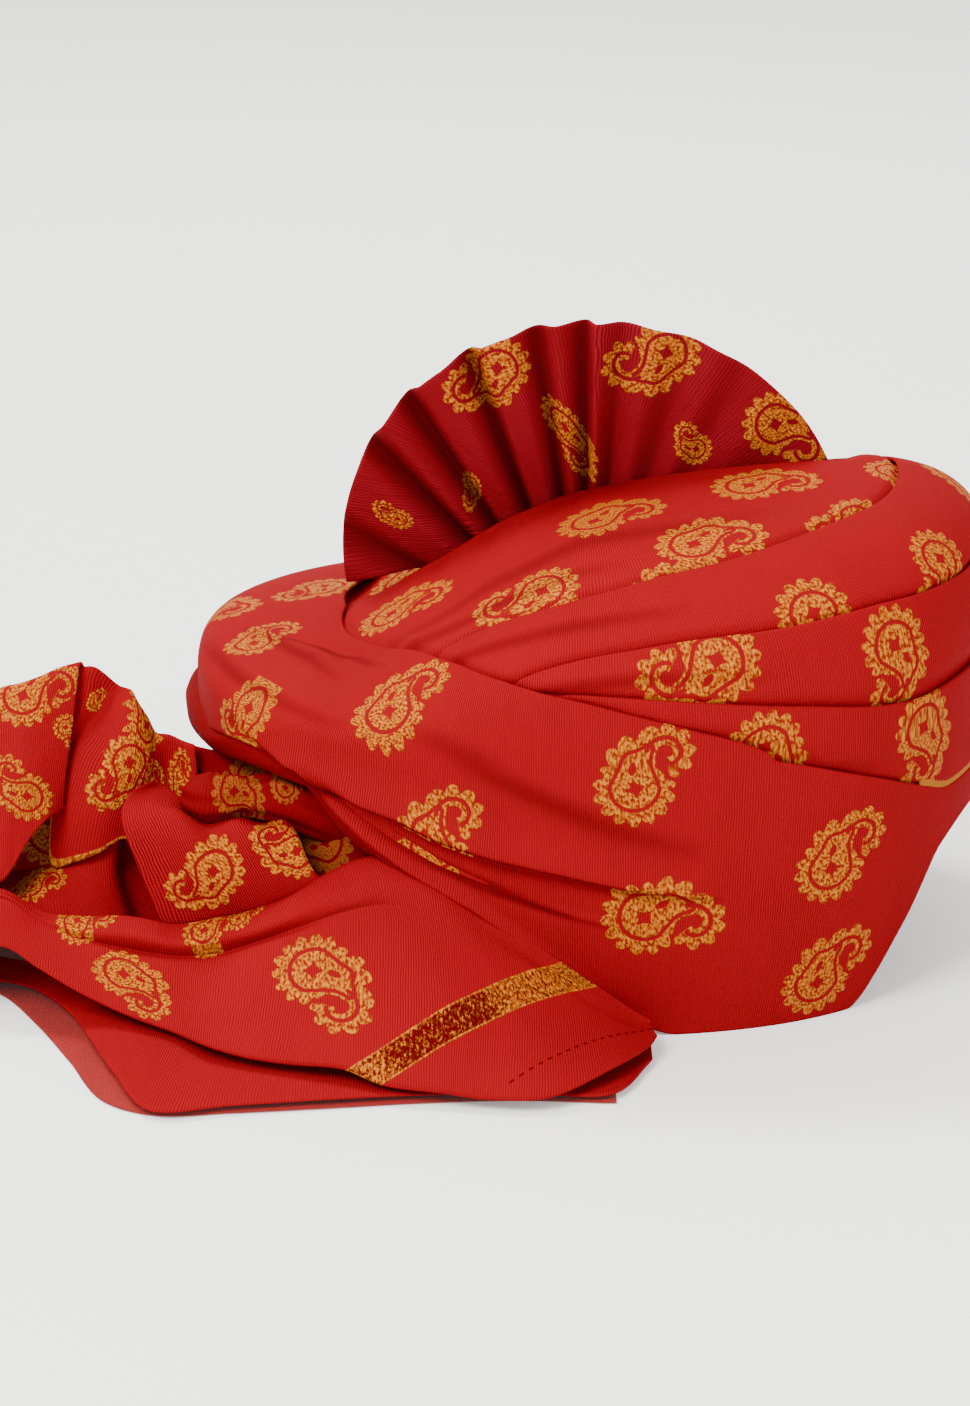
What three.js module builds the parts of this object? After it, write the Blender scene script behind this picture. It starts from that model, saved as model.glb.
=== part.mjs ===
import * as THREE from 'three';

// A tied turban of red cloth lying on a table. Lengths are millimetres and angles are degrees.
// X points to the turban's front, Z points up, and the near side faces -Y. While the pieces are
// made, X and Y are counted from the middle of the crown, and FRAME_SHIFT then moves the whole so
// that its origin lies under the middle of its box.
const FRAME_SHIFT = [66.5, 30.2, 0];

// The body is a superellipse round the head, with a dome above its widest level.
const HALF_LENGTH_FRONT = 156;
const HALF_LENGTH_BACK = 150;
const HALF_WIDTH = 124;
const PLAN_POWER = 2.3;
const WIDEST_HEIGHT = 110;
const LOWER_TAPER = 0.10;
const SHOULDER_SIDE = 0.72;
const SHOULDER_FRONT = 0.40;
const SHOULDER_BACK = 0.60;
const SLOPE_NEAR = 0.0008;
const SLOPE_FAR = 0.0040;
const RIDGE_ROUNDING = 18;

// Cloth thickness, the step from one turn to the next, and the hairline left between pieces.
const CLOTH = 1.5;
const TURN_STEP = 2.6;
const SEAT_GAP = 0.5;

// The wound core under the visible turns, and the rolled rim round the head opening.
const CORE_DEPTH = 12.8;
const CORE_WALL = 31;
const CORE_TOP_WALL = 8;
const CORE_TOP_LEVEL = 0.55;
const RIM_ROLL_RADIUS = 8;
const RIM_ROLL_SIDES = 8;

// The pleated fan that stands in the slit along the crown's ridge.
const FAN_CENTRE = [3, 9, 154.4];
const FAN_WIDTH_RADIUS = 97;
const FAN_HEIGHT_RADIUS = 93.5;
const FAN_START = 20;
const FAN_END = 190;
const FAN_PLEATS = 11;
const FAN_STEPS_PER_PLEAT = 4;
const FAN_ROWS = 3;
const FAN_PLEAT_DEPTH = 5;
const FOOT_STEP = 0.01;
const SLIT_DROP = 7;
const SLIT_HALF_LENGTH = 84;
const SLIT_FADE_LENGTH = 22;
const SLIT_FADE_START = 24;
const SLIT_FADE_WIDTH = 40;

// Height of the ridge above the widest level, from back to front.
const RIDGE = [
  { x: -155, rise: 33 }, { x: -130, rise: 32 }, { x: -95, rise: 31 }, { x: -60, rise: 44 },
  { x: -30, rise: 58 }, { x: 0, rise: 68 }, { x: 40, rise: 75 }, { x: 85, rise: 80 },
  { x: 130, rise: 84 }, { x: 160, rise: 86 },
];

// Level of each edge at an angle round from the front: 1 is the top of the dome, 0 its widest
// level and -1 the ground. Both sides of the turban are wound alike.
const EDGES = [
  { around: 0, turn_1: 0.66, turn_2: 0.24, turn_3: 0.02, band: -0.22, rim: -0.34 },
  { around: 20, turn_1: 0.66, turn_2: 0.24, turn_3: 0.02, band: -0.23, rim: -0.37 },
  { around: 28, turn_1: 0.67, turn_2: 0.26, turn_3: 0.02, band: -0.24, rim: -0.45 },
  { around: 34, turn_1: 0.67, turn_2: 0.28, turn_3: 0.02, band: -0.20, rim: -0.71 },
  { around: 42, turn_1: 0.66, turn_2: 0.31, turn_3: 0.03, band: -0.13, rim: -1 },
  { around: 57, turn_1: 0.63, turn_2: 0.33, turn_3: 0.08, band: -0.02, rim: -1 },
  { around: 73, turn_1: 0.61, turn_2: 0.35, turn_3: 0.14, band: 0.06, rim: -1 },
  { around: 88, turn_1: 0.58, turn_2: 0.34, turn_3: 0.19, band: 0.15, rim: -0.87 },
  { around: 99, turn_1: 0.57, turn_2: 0.32, turn_3: 0.22, band: 0.23, rim: -0.75 },
  { around: 109, turn_1: 0.57, turn_2: 0.27, turn_3: 0.20, band: 0.34, rim: -0.59 },
  { around: 118, turn_1: 0.56, turn_2: 0.24, turn_3: 0.16, band: 0.46, rim: -0.47 },
  { around: 131, turn_1: 0.47, turn_2: 0.24, turn_3: 0.14, band: 0.58, rim: -0.26 },
  { around: 139, turn_1: 0.42, turn_2: 0.25, turn_3: 0.14, band: 0.62, rim: -0.09 },
  { around: 150, turn_1: 0.38, turn_2: 0.27, turn_3: 0.16, band: 0.66, rim: -0.07 },
  { around: 165, turn_1: 0.34, turn_2: 0.24, turn_3: 0.13, band: 0.68, rim: -0.12 },
  { around: 180, turn_1: 0.32, turn_2: 0.22, turn_3: 0.11, band: 0.70, rim: -0.14 },
];

// Where the rolled rim runs: how far inside the outer face, how far above the band's edge, and
// how far below the core's foot.
const RIM_ROLL = [
  { around: 0, inside: 15, above: 8.6, below: 0.5 }, { around: 100, inside: 15, above: 8.6, below: 0.5 },
  { around: 130, inside: 12.5, above: 0, below: 5.5 }, { around: 180, inside: 11, above: -2, below: 5.5 },
];

// Relief of the outer band from its upper edge (0) to its rim (1), where its pleats gather
// towards the back: an overhanging flap, a groove and a second pleat.
const BAND_PLEATS = [
  { down: 0, out: 0 }, { down: 0.5, out: 0.4 }, { down: 0.76, out: 2.6 }, { down: 0.82, out: -0.2 },
  { down: 0.9, out: 1.6 }, { down: 0.96, out: -0.1 }, { down: 1, out: 0.6 },
];
const PLEAT_WINDOW = [
  { around: 70, share: 0 }, { around: 100, share: 1 }, { around: 135, share: 1 },
  { around: 160, share: 0 },
];

// How high the gold border stands over the outer band's edge at the front.
const FRONT_BORDER = [
  { around: 0, height: 0.12 }, { around: 22, height: 0.10 }, { around: 38, height: 0.03 },
];
const FRONT_BORDER_REACH = 36;

// The tail's pieces, each a sheet through sections from its left end to its right end.
const TAIL_LOOP = [
  { near: [-288, -58, 16], face: [-288, -56, 38], top: [-284, -45, 62], far: [-286, -30, 34],
    foot: [-288, -24, 4] },
  { near: [-255, -74, 36], face: [-255, -66, 70], top: [-253, -47, 98], far: [-254, -24, 62],
    foot: [-256, -12, 4] },
  { near: [-221, -78, 50], face: [-221, -67, 84], top: [-222, -45, 113], far: [-221, -21, 72],
    foot: [-222, -9, 4] },
  { near: [-210, -73, 62], face: [-210, -63, 90], top: [-210, -45, 117], far: [-208, -20, 74],
    foot: [-208, -8, 4] },
  { near: [-201, -66, 73], face: [-201, -59, 96], top: [-200, -45, 120], far: [-198, -20, 76],
    foot: [-196, -8, 4] },
  { near: [-195, -59, 85], face: [-194, -54, 101], top: [-191, -44, 122], far: [-188, -21, 80],
    foot: [-184, -10, 4] },
];
const TAIL_BACK_FOLD = [
  { top: [-185, -37, 116], face: [-196, -49, 78], fold: [-201, -57, 49], tuck: [-204, -66, 42] },
  { top: [-181, -39, 113], face: [-186, -53, 82], fold: [-189, -61, 54], tuck: [-190, -73, 42] },
  { top: [-175, -40, 110], face: [-176, -55, 86], fold: [-177, -66, 62], tuck: [-178, -78, 43] },
  { top: [-168, -41, 100], face: [-168, -55, 84], fold: [-168, -66, 67], tuck: [-169, -76, 50] },
  { top: [-158, -43, 93], face: [-155.2, -53, 84], fold: [-155.2, -61, 76], tuck: [-157, -69, 64] },
];
const TAIL_MID_FOLD = [
  { bottom: [-172, -85, 54], face: [-175, -84, 66], top: [-172, -78, 76], back: [-167, -71, 77] },
  { bottom: [-163, -89, 41], face: [-164, -88, 60], top: [-163, -80, 77], back: [-159, -71, 77] },
  { bottom: [-150, -91, 35], face: [-150, -90, 55], top: [-150, -81, 75], back: [-149, -73, 74] },
  { bottom: [-142, -92, 35], face: [-142, -91, 52], top: [-142, -84, 70], back: [-141, -77, 69] },
  { bottom: [-124, -97.5, 39.5], face: [-124, -93, 55], top: [-123, -87, 70], back: [-122, -81, 69] },
  { bottom: [-110, -100.5, 47.5], face: [-110, -96, 59], top: [-111, -91, 72], back: [-109, -86, 71] },
  { bottom: [-101, -99, 54], face: [-101, -98, 59], top: [-102, -95, 64], back: [-99, -92, 63] },
];
const TAIL_END_PANEL = [
  { upper: [-286, -60, 28], fold: [-286, -65, 24], middle: [-286, -71, 16], lower: [-286, -78, 7] },
  { upper: [-250, -78, 40], fold: [-250, -83, 36], middle: [-250, -88, 28], lower: [-250, -93, 20] },
  { upper: [-220, -84, 44], fold: [-220, -88, 40], middle: [-220, -92, 33], lower: [-220, -97, 26] },
  { upper: [-206, -86, 37], fold: [-205, -91, 35], middle: [-205, -97, 28], lower: [-205, -102, 22] },
  { upper: [-193, -87, 36], fold: [-193, -95, 33], middle: [-191, -102, 24], lower: [-189, -109, 16] },
  { upper: [-178, -89, 36], fold: [-171, -101, 30], middle: [-171, -110, 20], lower: [-170, -118, 11] },
  { upper: [-159, -93, 35], fold: [-153, -105, 29], middle: [-155, -116, 18], lower: [-156, -126, 9.5] },
  { upper: [-145, -96, 36], fold: [-139, -108, 31], middle: [-135, -125, 18], lower: [-132, -140, 7.3] },
  { upper: [-123, -100, 42], fold: [-119, -111, 38], middle: [-116, -132, 21], lower: [-113, -150, 8.5] },
  { upper: [-101, -104, 55], fold: [-104, -114, 45], middle: [-97, -138, 24], lower: [-91, -159, 9] },
  { upper: [-81, -115, 63], fold: [-86, -123, 49], middle: [-80, -147, 26], lower: [-76, -172, 9] },
  { upper: [-59, -120, 54], fold: [-60, -130, 40], middle: [-59, -148, 22], lower: [-58, -173, 7] },
  { upper: [-41, -118.4, 43.5], fold: [-41, -132, 31], middle: [-41, -151, 16], lower: [-41, -175, 5.4] },
  { upper: [-19, -119, 29], fold: [-19, -133, 20], middle: [-20, -152, 11], lower: [-20, -179, 5] },
  { upper: [3, -121, 18], fold: [2, -133, 12], middle: [0, -152, 8], lower: [-2, -184, 5] },
  { upper: [23, -121, 7], fold: [23, -125, 6.5], middle: [20, -138, 6], lower: [14, -158, 5] },
];
const TAIL_MIDDLE_LAYER = [
  { front: [-214, -74, 4], middle: [-213, -68, 6], back: [-212, -60, 7] },
  { front: [-195, -98, 4], middle: [-191, -80, 8], back: [-188, -62, 9] },
  { front: [-174, -149, 4], middle: [-170, -106, 7], back: [-168, -66, 9] },
  { front: [-157, -181, 3.4], middle: [-150, -122, 5], back: [-148, -70, 9] },
  { front: [-129, -177, 3.6], middle: [-127, -128, 4.8], back: [-125, -76, 9] },
  { front: [-94, -172, 3.6], middle: [-94, -132, 5], back: [-94, -88, 8] },
  { front: [-62, -168, 3.4], middle: [-62, -134, 4.6], back: [-62, -100, 6.5] },
  { front: [-26, -166, 3.2], middle: [-26, -143, 3.6], back: [-26, -122, 4.2] },
  { front: [6, -168, 3.1], middle: [6, -152, 3.1], back: [6, -134, 3.1] },
];
const TAIL_LOWER_LAYER = [
  { front: [-285, -58, 0.75], back: [-285, -32, 0.75] },
  { front: [-240, -63, 0.75], back: [-240, -24, 0.75] },
  { front: [-223, -75, 0.75], back: [-223, -22, 0.75] },
  { front: [-207, -101, 0.75], back: [-207, -22, 0.75] },
  { front: [-191, -134, 0.75], back: [-191, -22, 0.75] },
  { front: [-175, -168, 0.75], back: [-175, -24, 0.75] },
  { front: [-156, -179, 0.75], back: [-156, -30, 0.75] },
  { front: [-129, -177, 0.75], back: [-129, -40, 0.75] },
  { front: [-94, -173, 0.75], back: [-94, -56, 0.75] },
  { front: [-62, -169, 0.75], back: [-62, -76, 0.75] },
  { front: [-26, -167, 0.75], back: [-26, -104, 0.75] },
  { front: [8, -169, 0.75], back: [8, -130, 0.75] },
];

// The gathered bundle that carries the tail out from under the turban's back.
const TAIL_GATHER = [
  { centre: [-64, -74, 58], radius: 7 }, { centre: [-80, -77, 66], radius: 9 },
  { centre: [-98, -76, 74.5], radius: 10.5 }, { centre: [-114, -71, 78.8], radius: 12 },
  { centre: [-130, -66, 81], radius: 13 }, { centre: [-143, -61, 82], radius: 11 },
  { centre: [-153, -57, 82], radius: 7 },
];

// Smooth value of one column of a table at x, without overshoot between its rows.
function smoothTable(rows, along, column, x) {
  const last = rows.length - 1;
  if (x <= rows[0][along]) return rows[0][column];
  if (x >= rows[last][along]) return rows[last][column];
  const at = rows.findIndex((row) => row[along] > x) - 1;
  const slope = (i) => (rows[i + 1][column] - rows[i][column]) / (rows[i + 1][along] - rows[i][along]);
  const tangent = (i) => {
    if (i === 0 || i === last) return slope(Math.min(i, last - 1));
    const before = slope(i - 1);
    const after = slope(i);
    return before * after <= 0 ? 0 : (2 * before * after) / (before + after);
  };
  const width = rows[at + 1][along] - rows[at][along];
  const t = (x - rows[at][along]) / width;
  const rise = t * t * (3 - 2 * t);
  return rows[at][column] * (1 - rise) + rows[at + 1][column] * rise
    + width * (t * (1 - t) ** 2 * tangent(at) - t * t * (1 - t) * tangent(at + 1));
}

const clamp = (x, low, high) => Math.min(Math.max(x, low), high);
const mix = (a, b, t) => a + (b - a) * t;
const radians = (angle) => THREE.MathUtils.degToRad(angle);
const fade = (x, start, width) => 1 - THREE.MathUtils.smoothstep(x, start, start + width);
const angleFromFront = (azimuth) => Math.abs(((azimuth + 540) % 360) - 180);
const edgeLevel = (azimuth, edge) => smoothTable(EDGES, 'around', edge, angleFromFront(azimuth));

// Distance from the middle to the outer face at the widest level.
function planRadius(azimuth) {
  const along = Math.cos(radians(azimuth));
  const across = Math.sin(radians(azimuth));
  const halfLength = along > 0 ? HALF_LENGTH_FRONT : HALF_LENGTH_BACK;
  const sum = Math.abs(along / halfLength) ** PLAN_POWER + Math.abs(across / HALF_WIDTH) ** PLAN_POWER;
  return sum ** (-1 / PLAN_POWER);
}

function shoulder(azimuth) {
  const along = Math.cos(radians(azimuth));
  return mix(SHOULDER_SIDE, along > 0 ? SHOULDER_FRONT : SHOULDER_BACK, along * along);
}

function domeRise(x, y) {
  const sideways = Math.hypot(y, RIDGE_ROUNDING) - RIDGE_ROUNDING;
  return smoothTable(RIDGE, 'x', 'rise', x) * (1 - (y > 0 ? SLOPE_FAR : SLOPE_NEAR) * sideways);
}

// The outer face at an azimuth and level.
function bodyPoint(azimuth, level) {
  const lean = clamp(level, 0, 1) * Math.PI / 2;
  const below = Math.max(-level, 0);
  const power = shoulder(azimuth);
  const radius = planRadius(azimuth)
    * (level >= 0 ? Math.cos(lean) ** power : 1 - LOWER_TAPER * below * below);
  const x = radius * Math.cos(radians(azimuth));
  const y = radius * Math.sin(radians(azimuth));
  const z = level >= 0
    ? WIDEST_HEIGHT + domeRise(x, y) * Math.sin(lean) ** power
    : WIDEST_HEIGHT * (1 - below);
  return new THREE.Vector3(x, y, z);
}

function bodyNormal(azimuth, level) {
  const at = Math.min(level, 0.985);
  const round = bodyPoint(azimuth + 0.05, at).sub(bodyPoint(azimuth - 0.05, at));
  const up = bodyPoint(azimuth, at + 0.001).sub(bodyPoint(azimuth, at - 0.001));
  return round.cross(up).normalize();
}

// All shells share one net of azimuths and levels, so that their faces lie parallel.
const AZIMUTHS = [0, 2.5];
for (let azimuth = 7.5; azimuth < 180; azimuth += 7.5) AZIMUTHS.push(azimuth);
AZIMUTHS.push(177.5);
for (let azimuth = 180; azimuth < 360; azimuth += 7.5) AZIMUTHS.push(azimuth);
const LEVELS = [1, 0.94, 0.83, 0.71, 0.59, 0.47, 0.35, 0.23, 0.11, -0.05, -0.3, -0.55, -0.8, -1];
const TURNS = ['crown', 'turn_1', 'turn_2', 'turn_3', 'band'];

const NET = AZIMUTHS.map((azimuth) => LEVELS.map((level) => ({
  point: bodyPoint(azimuth, level),
  normal: bodyNormal(azimuth, level),
})));
const rowAbove = (level) => LEVELS.findLastIndex((row) => row >= level);
const COVER_ROW = AZIMUTHS.map((azimuth) => TURNS.map((turn) => (
  turn === 'crown' ? 0 : rowAbove(edgeLevel(azimuth, turn)))));

// How many turns lie over a turn at one place of the net.
function turnsOver(column, row, turn) {
  const round = AZIMUTHS.length;
  const near = [column, (column + 1) % round, (column + round - 1) % round];
  let count = 0;
  for (let k = TURNS.indexOf(turn) + 1; k < TURNS.length; k += 1) {
    if (row >= Math.min(...near.map((c) => COVER_ROW[c][k]))) count += 1;
  }
  return count;
}

// A point of the net between two of its rows, moved out along the normal.
function netPoint(column, level, depthAtRow) {
  const row = clamp(rowAbove(level), 0, LEVELS.length - 2);
  const t = (LEVELS[row] - level) / (LEVELS[row] - LEVELS[row + 1]);
  const upper = NET[column][row];
  const lower = NET[column][row + 1];
  const depth = mix(depthAtRow(column, row), depthAtRow(column, row + 1), t);
  const normal = upper.normal.clone().lerp(lower.normal, t).normalize();
  return upper.point.clone().lerp(lower.point, t).addScaledVector(normal, -depth);
}

function solidFrom(vertices, triangles) {
  let volume = 0;
  for (const [a, b, c] of triangles) {
    volume += vertices[a].dot(new THREE.Vector3().crossVectors(vertices[b], vertices[c]));
  }
  const faces = volume > 0 ? triangles : triangles.map(([a, b, c]) => [a, c, b]);
  const shift = new THREE.Vector3(...FRAME_SHIFT);
  const geometry = new THREE.BufferGeometry();
  geometry.setFromPoints(vertices.map((vertex) => vertex.clone().add(shift)));
  geometry.setIndex(faces.flat());
  geometry.computeVertexNormals();
  return geometry;
}

// Joins two neighbouring columns of points, each running down from its first to its last.
function stitch(left, right, triangles, flip) {
  let i = 0;
  let j = 0;
  while (i < left.length - 1 || j < right.length - 1) {
    const leftNext = i < left.length - 1 ? left[i + 1].level : -Infinity;
    const rightNext = j < right.length - 1 ? right[j + 1].level : -Infinity;
    const stepLeft = leftNext >= rightNext;
    const triangle = stepLeft
      ? [left[i].index, right[j].index, left[i + 1].index]
      : [left[i].index, right[j].index, right[j + 1].index];
    triangles.push(flip ? [triangle[0], triangle[2], triangle[1]] : triangle);
    if (stepLeft) i += 1;
    else j += 1;
  }
}

// A closed wall round the body between an upper and a lower edge. span picks the columns, and
// the wall closes on itself where it takes them all.
function wallShell({ upper, lower, outerDepth, innerDepth, columns = AZIMUTHS.map((_, i) => i) }) {
  const ring = columns.length === AZIMUTHS.length;
  const vertices = [];
  const triangles = [];
  const clear = 0.035;
  const sides = columns.map((column) => {
    const azimuth = AZIMUTHS[column];
    const top = upper(azimuth);
    const bottom = lower(azimuth);
    const levels = [top, ...LEVELS.filter((row) => row < top - clear && row > bottom + clear), bottom];
    const line = (depth) => levels.map((level) => {
      vertices.push(netPoint(column, level, (c, row) => depth(c, row)));
      return { level, index: vertices.length - 1 };
    });
    return { outer: line(outerDepth), inner: line(innerDepth) };
  });
  const quad = (a, b, c, d) => triangles.push([a, b, c], [a, c, d]);
  const joins = ring ? sides.length : sides.length - 1;
  for (let k = 0; k < joins; k += 1) {
    const here = sides[k];
    const next = sides[(k + 1) % sides.length];
    stitch(here.outer, next.outer, triangles, true);
    stitch(here.inner, next.inner, triangles, false);
    quad(here.outer[0].index, next.outer[0].index, next.inner[0].index, here.inner[0].index);
    quad(here.outer.at(-1).index, here.inner.at(-1).index, next.inner.at(-1).index, next.outer.at(-1).index);
  }
  if (!ring) {
    for (const [side, turned] of [[sides[0], false], [sides.at(-1), true]]) {
      for (let row = 0; row < side.outer.length - 1; row += 1) {
        const corners = [side.outer[row], side.inner[row], side.inner[row + 1], side.outer[row + 1]]
          .map((corner) => corner.index);
        quad(...(turned ? corners.reverse() : corners));
      }
    }
  }
  return solidFrom(vertices, triangles);
}

// One visible turn: it lies under the later turns and its foot is hidden by them.
function turnShell(turn, lowest, aboveRim) {
  const depth = (column, row) => turnsOver(column, row, turn) * TURN_STEP;
  return wallShell({
    upper: (azimuth) => edgeLevel(azimuth, turn),
    lower: (azimuth) => Math.max(lowest, edgeLevel(azimuth, 'rim') + aboveRim),
    outerDepth: depth,
    innerDepth: (column, row) => depth(column, row) + CLOTH,
  });
}

// The outer band, whose pleats run together towards the back.
function bandShell() {
  const relief = (column, row) => {
    const azimuth = AZIMUTHS[column];
    const top = edgeLevel(azimuth, 'band');
    const down = clamp((top - LEVELS[row]) / (top - edgeLevel(azimuth, 'rim')), 0, 1);
    const share = smoothTable(PLEAT_WINDOW, 'around', 'share', angleFromFront(azimuth));
    return -share * smoothTable(BAND_PLEATS, 'down', 'out', down);
  };
  return wallShell({
    upper: (azimuth) => edgeLevel(azimuth, 'band'),
    lower: (azimuth) => edgeLevel(azimuth, 'rim'),
    outerDepth: (column, row) => Math.min(relief(column, row), 0),
    innerDepth: () => CLOTH,
  });
}

// The gold border shows over the band's edge at the front, on the turn below it.
function frontBorder() {
  const height = (azimuth) => smoothTable(FRONT_BORDER, 'around', 'height', angleFromFront(azimuth));
  const columns = AZIMUTHS.map((_, i) => i)
    .filter((i) => angleFromFront(AZIMUTHS[i]) < FRONT_BORDER_REACH)
    .sort((a, b) => ((AZIMUTHS[a] + 180) % 360) - ((AZIMUTHS[b] + 180) % 360));
  const over = 0.006;
  return wallShell({
    upper: (azimuth) => edgeLevel(azimuth, 'band') + over + height(azimuth),
    lower: (azimuth) => edgeLevel(azimuth, 'band') + over,
    outerDepth: () => 0.2,
    innerDepth: () => CLOTH,
    columns,
  });
}

// How far the crown drops behind the slit that holds the fan.
function slitDrop(x, y) {
  if (y <= 0) return 0;
  const along = fade(Math.abs(x - FAN_CENTRE[0]), SLIT_HALF_LENGTH, SLIT_FADE_LENGTH);
  return SLIT_DROP * along * fade(y, SLIT_FADE_START, SLIT_FADE_WIDTH);
}

function crownDepth(column, row) {
  const { point } = NET[column][row];
  const onRidge = AZIMUTHS[column] % 180 === 0 || row === 0;
  return turnsOver(column, row, 'crown') * TURN_STEP + (onRidge ? 0 : slitDrop(point.x, point.y));
}

// The crown closes over the top at the dome's pole and runs down inside the turns.
function crownShell() {
  const vertices = [];
  const triangles = [];
  const pole = NET[0][0].point;
  const foot = LEVELS.indexOf(0.11);
  const faces = [0, CLOTH].map((extra) => {
    vertices.push(pole.clone().setZ(pole.z - extra));
    const top = vertices.length - 1;
    const columns = AZIMUTHS.map((_, column) => {
      const line = [];
      for (let row = 1; row <= foot; row += 1) {
        vertices.push(netPoint(column, LEVELS[row], (c, r) => crownDepth(c, r) + extra));
        line.push(vertices.length - 1);
      }
      return line;
    });
    return { top, columns };
  });
  faces.forEach(({ top, columns }, inner) => {
    const add = (a, b, c) => triangles.push(inner ? [a, c, b] : [a, b, c]);
    columns.forEach((here, k) => {
      const next = columns[(k + 1) % columns.length];
      add(top, here[0], next[0]);
      for (let row = 0; row < here.length - 1; row += 1) {
        add(here[row], here[row + 1], next[row]);
        add(here[row + 1], next[row + 1], next[row]);
      }
    });
  });
  const [outer, inner] = faces;
  outer.columns.forEach((here, k) => {
    const next = (k + 1) % outer.columns.length;
    const corners = [here.at(-1), inner.columns[k].at(-1), inner.columns[next].at(-1), outer.columns[next].at(-1)];
    triangles.push([corners[0], corners[1], corners[2]], [corners[0], corners[2], corners[3]]);
  });
  return solidFrom(vertices, triangles);
}

// The wound core: hidden turns of cloth, thick at the brow and thin towards the crown.
function coreShell() {
  const wall = (column, row) => {
    const t = clamp(LEVELS[row] / CORE_TOP_LEVEL, 0, 1);
    return CORE_DEPTH + mix(CORE_WALL, CORE_TOP_WALL, t * t * (3 - 2 * t));
  };
  const footLevel = (azimuth) => {
    const around = angleFromFront(azimuth);
    const above = smoothTable(RIM_ROLL, 'around', 'above', around);
    const below = smoothTable(RIM_ROLL, 'around', 'below', around);
    const highest = Math.max(...[-7, 0, 7].map((aside) => edgeLevel(azimuth + aside, 'rim')));
    return highest + (above + RIM_ROLL_RADIUS + below) / WIDEST_HEIGHT;
  };
  return wallShell({
    upper: () => CORE_TOP_LEVEL,
    lower: footLevel,
    outerDepth: () => CORE_DEPTH,
    innerDepth: wall,
  });
}

// A tube through centres, with one radius each. It closes on itself as a ring, or ends flat.
function tube(centres, radii, sides, ring) {
  const vertices = [];
  const triangles = [];
  const count = centres.length;
  centres.forEach((centre, k) => {
    const before = centres[ring ? (k + count - 1) % count : Math.max(k - 1, 0)];
    const after = centres[ring ? (k + 1) % count : Math.min(k + 1, count - 1)];
    const along = after.clone().sub(before).normalize();
    const across = new THREE.Vector3(0, 0, 1).cross(along).normalize();
    const up = along.clone().cross(across);
    for (let s = 0; s < sides; s += 1) {
      const turn = (2 * Math.PI * s) / sides;
      vertices.push(centre.clone().addScaledVector(across, radii[k] * Math.cos(turn))
        .addScaledVector(up, radii[k] * Math.sin(turn)));
    }
  });
  const joins = ring ? count : count - 1;
  for (let k = 0; k < joins; k += 1) {
    for (let s = 0; s < sides; s += 1) {
      const corner = (i, j) => ((i % count) * sides) + (j % sides);
      triangles.push([corner(k, s), corner(k, s + 1), corner(k + 1, s + 1)]);
      triangles.push([corner(k, s), corner(k + 1, s + 1), corner(k + 1, s)]);
    }
  }
  if (!ring) {
    for (const [end, turned] of [[0, true], [count - 1, false]]) {
      vertices.push(centres[end].clone());
      const middle = vertices.length - 1;
      for (let s = 0; s < sides; s += 1) {
        const a = end * sides + s;
        const b = end * sides + ((s + 1) % sides);
        triangles.push(turned ? [middle, b, a] : [middle, a, b]);
      }
    }
  }
  return solidFrom(vertices, triangles);
}

// The rolled rim of the head opening follows the band's edge and hangs below it at the back.
function rimRoll() {
  const centres = AZIMUTHS.map((azimuth) => {
    const around = angleFromFront(azimuth);
    const level = edgeLevel(azimuth, 'rim');
    const inside = smoothTable(RIM_ROLL, 'around', 'inside', around);
    const above = smoothTable(RIM_ROLL, 'around', 'above', around);
    const centre = bodyPoint(azimuth, level);
    const outward = bodyNormal(azimuth, level).setZ(0).normalize();
    return centre.addScaledVector(outward, -inside).add(new THREE.Vector3(0, 0, above));
  });
  return tube(centres, centres.map(() => RIM_ROLL_RADIUS), RIM_ROLL_SIDES, true);
}

// A sheet of cloth with two faces, through a grid of points.
function sheetSolid(grid, normalAt, thickness) {
  const rows = grid.length;
  const columns = grid[0].length;
  const vertices = [];
  const triangles = [];
  for (const side of [0.5, -0.5]) {
    for (let i = 0; i < rows; i += 1) {
      for (let j = 0; j < columns; j += 1) {
        vertices.push(grid[i][j].clone().addScaledVector(normalAt(i, j), side * thickness));
      }
    }
  }
  const upper = (i, j) => i * columns + j;
  const lower = (i, j) => rows * columns + i * columns + j;
  const quad = (a, b, c, d) => triangles.push([a, b, c], [a, c, d]);
  for (let i = 0; i < rows - 1; i += 1) {
    for (let j = 0; j < columns - 1; j += 1) {
      quad(upper(i, j), upper(i + 1, j), upper(i + 1, j + 1), upper(i, j + 1));
      quad(lower(i, j), lower(i, j + 1), lower(i + 1, j + 1), lower(i + 1, j));
    }
    quad(upper(i, 0), lower(i, 0), lower(i + 1, 0), upper(i + 1, 0));
    quad(upper(i, columns - 1), upper(i + 1, columns - 1), lower(i + 1, columns - 1), lower(i, columns - 1));
  }
  for (let j = 0; j < columns - 1; j += 1) {
    quad(upper(0, j), upper(0, j + 1), lower(0, j + 1), lower(0, j));
    quad(upper(rows - 1, j), lower(rows - 1, j), lower(rows - 1, j + 1), upper(rows - 1, j + 1));
  }
  return solidFrom(vertices, triangles);
}

function gridNormal(grid) {
  return (i, j) => {
    const row = (k) => grid[clamp(k, 0, grid.length - 1)];
    const column = (k) => clamp(k, 0, grid[0].length - 1);
    const along = row(i + 1)[j].clone().sub(row(i - 1)[j]);
    const across = grid[i][column(j + 1)].clone().sub(grid[i][column(j - 1)]);
    return along.cross(across).normalize();
  };
}

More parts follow.
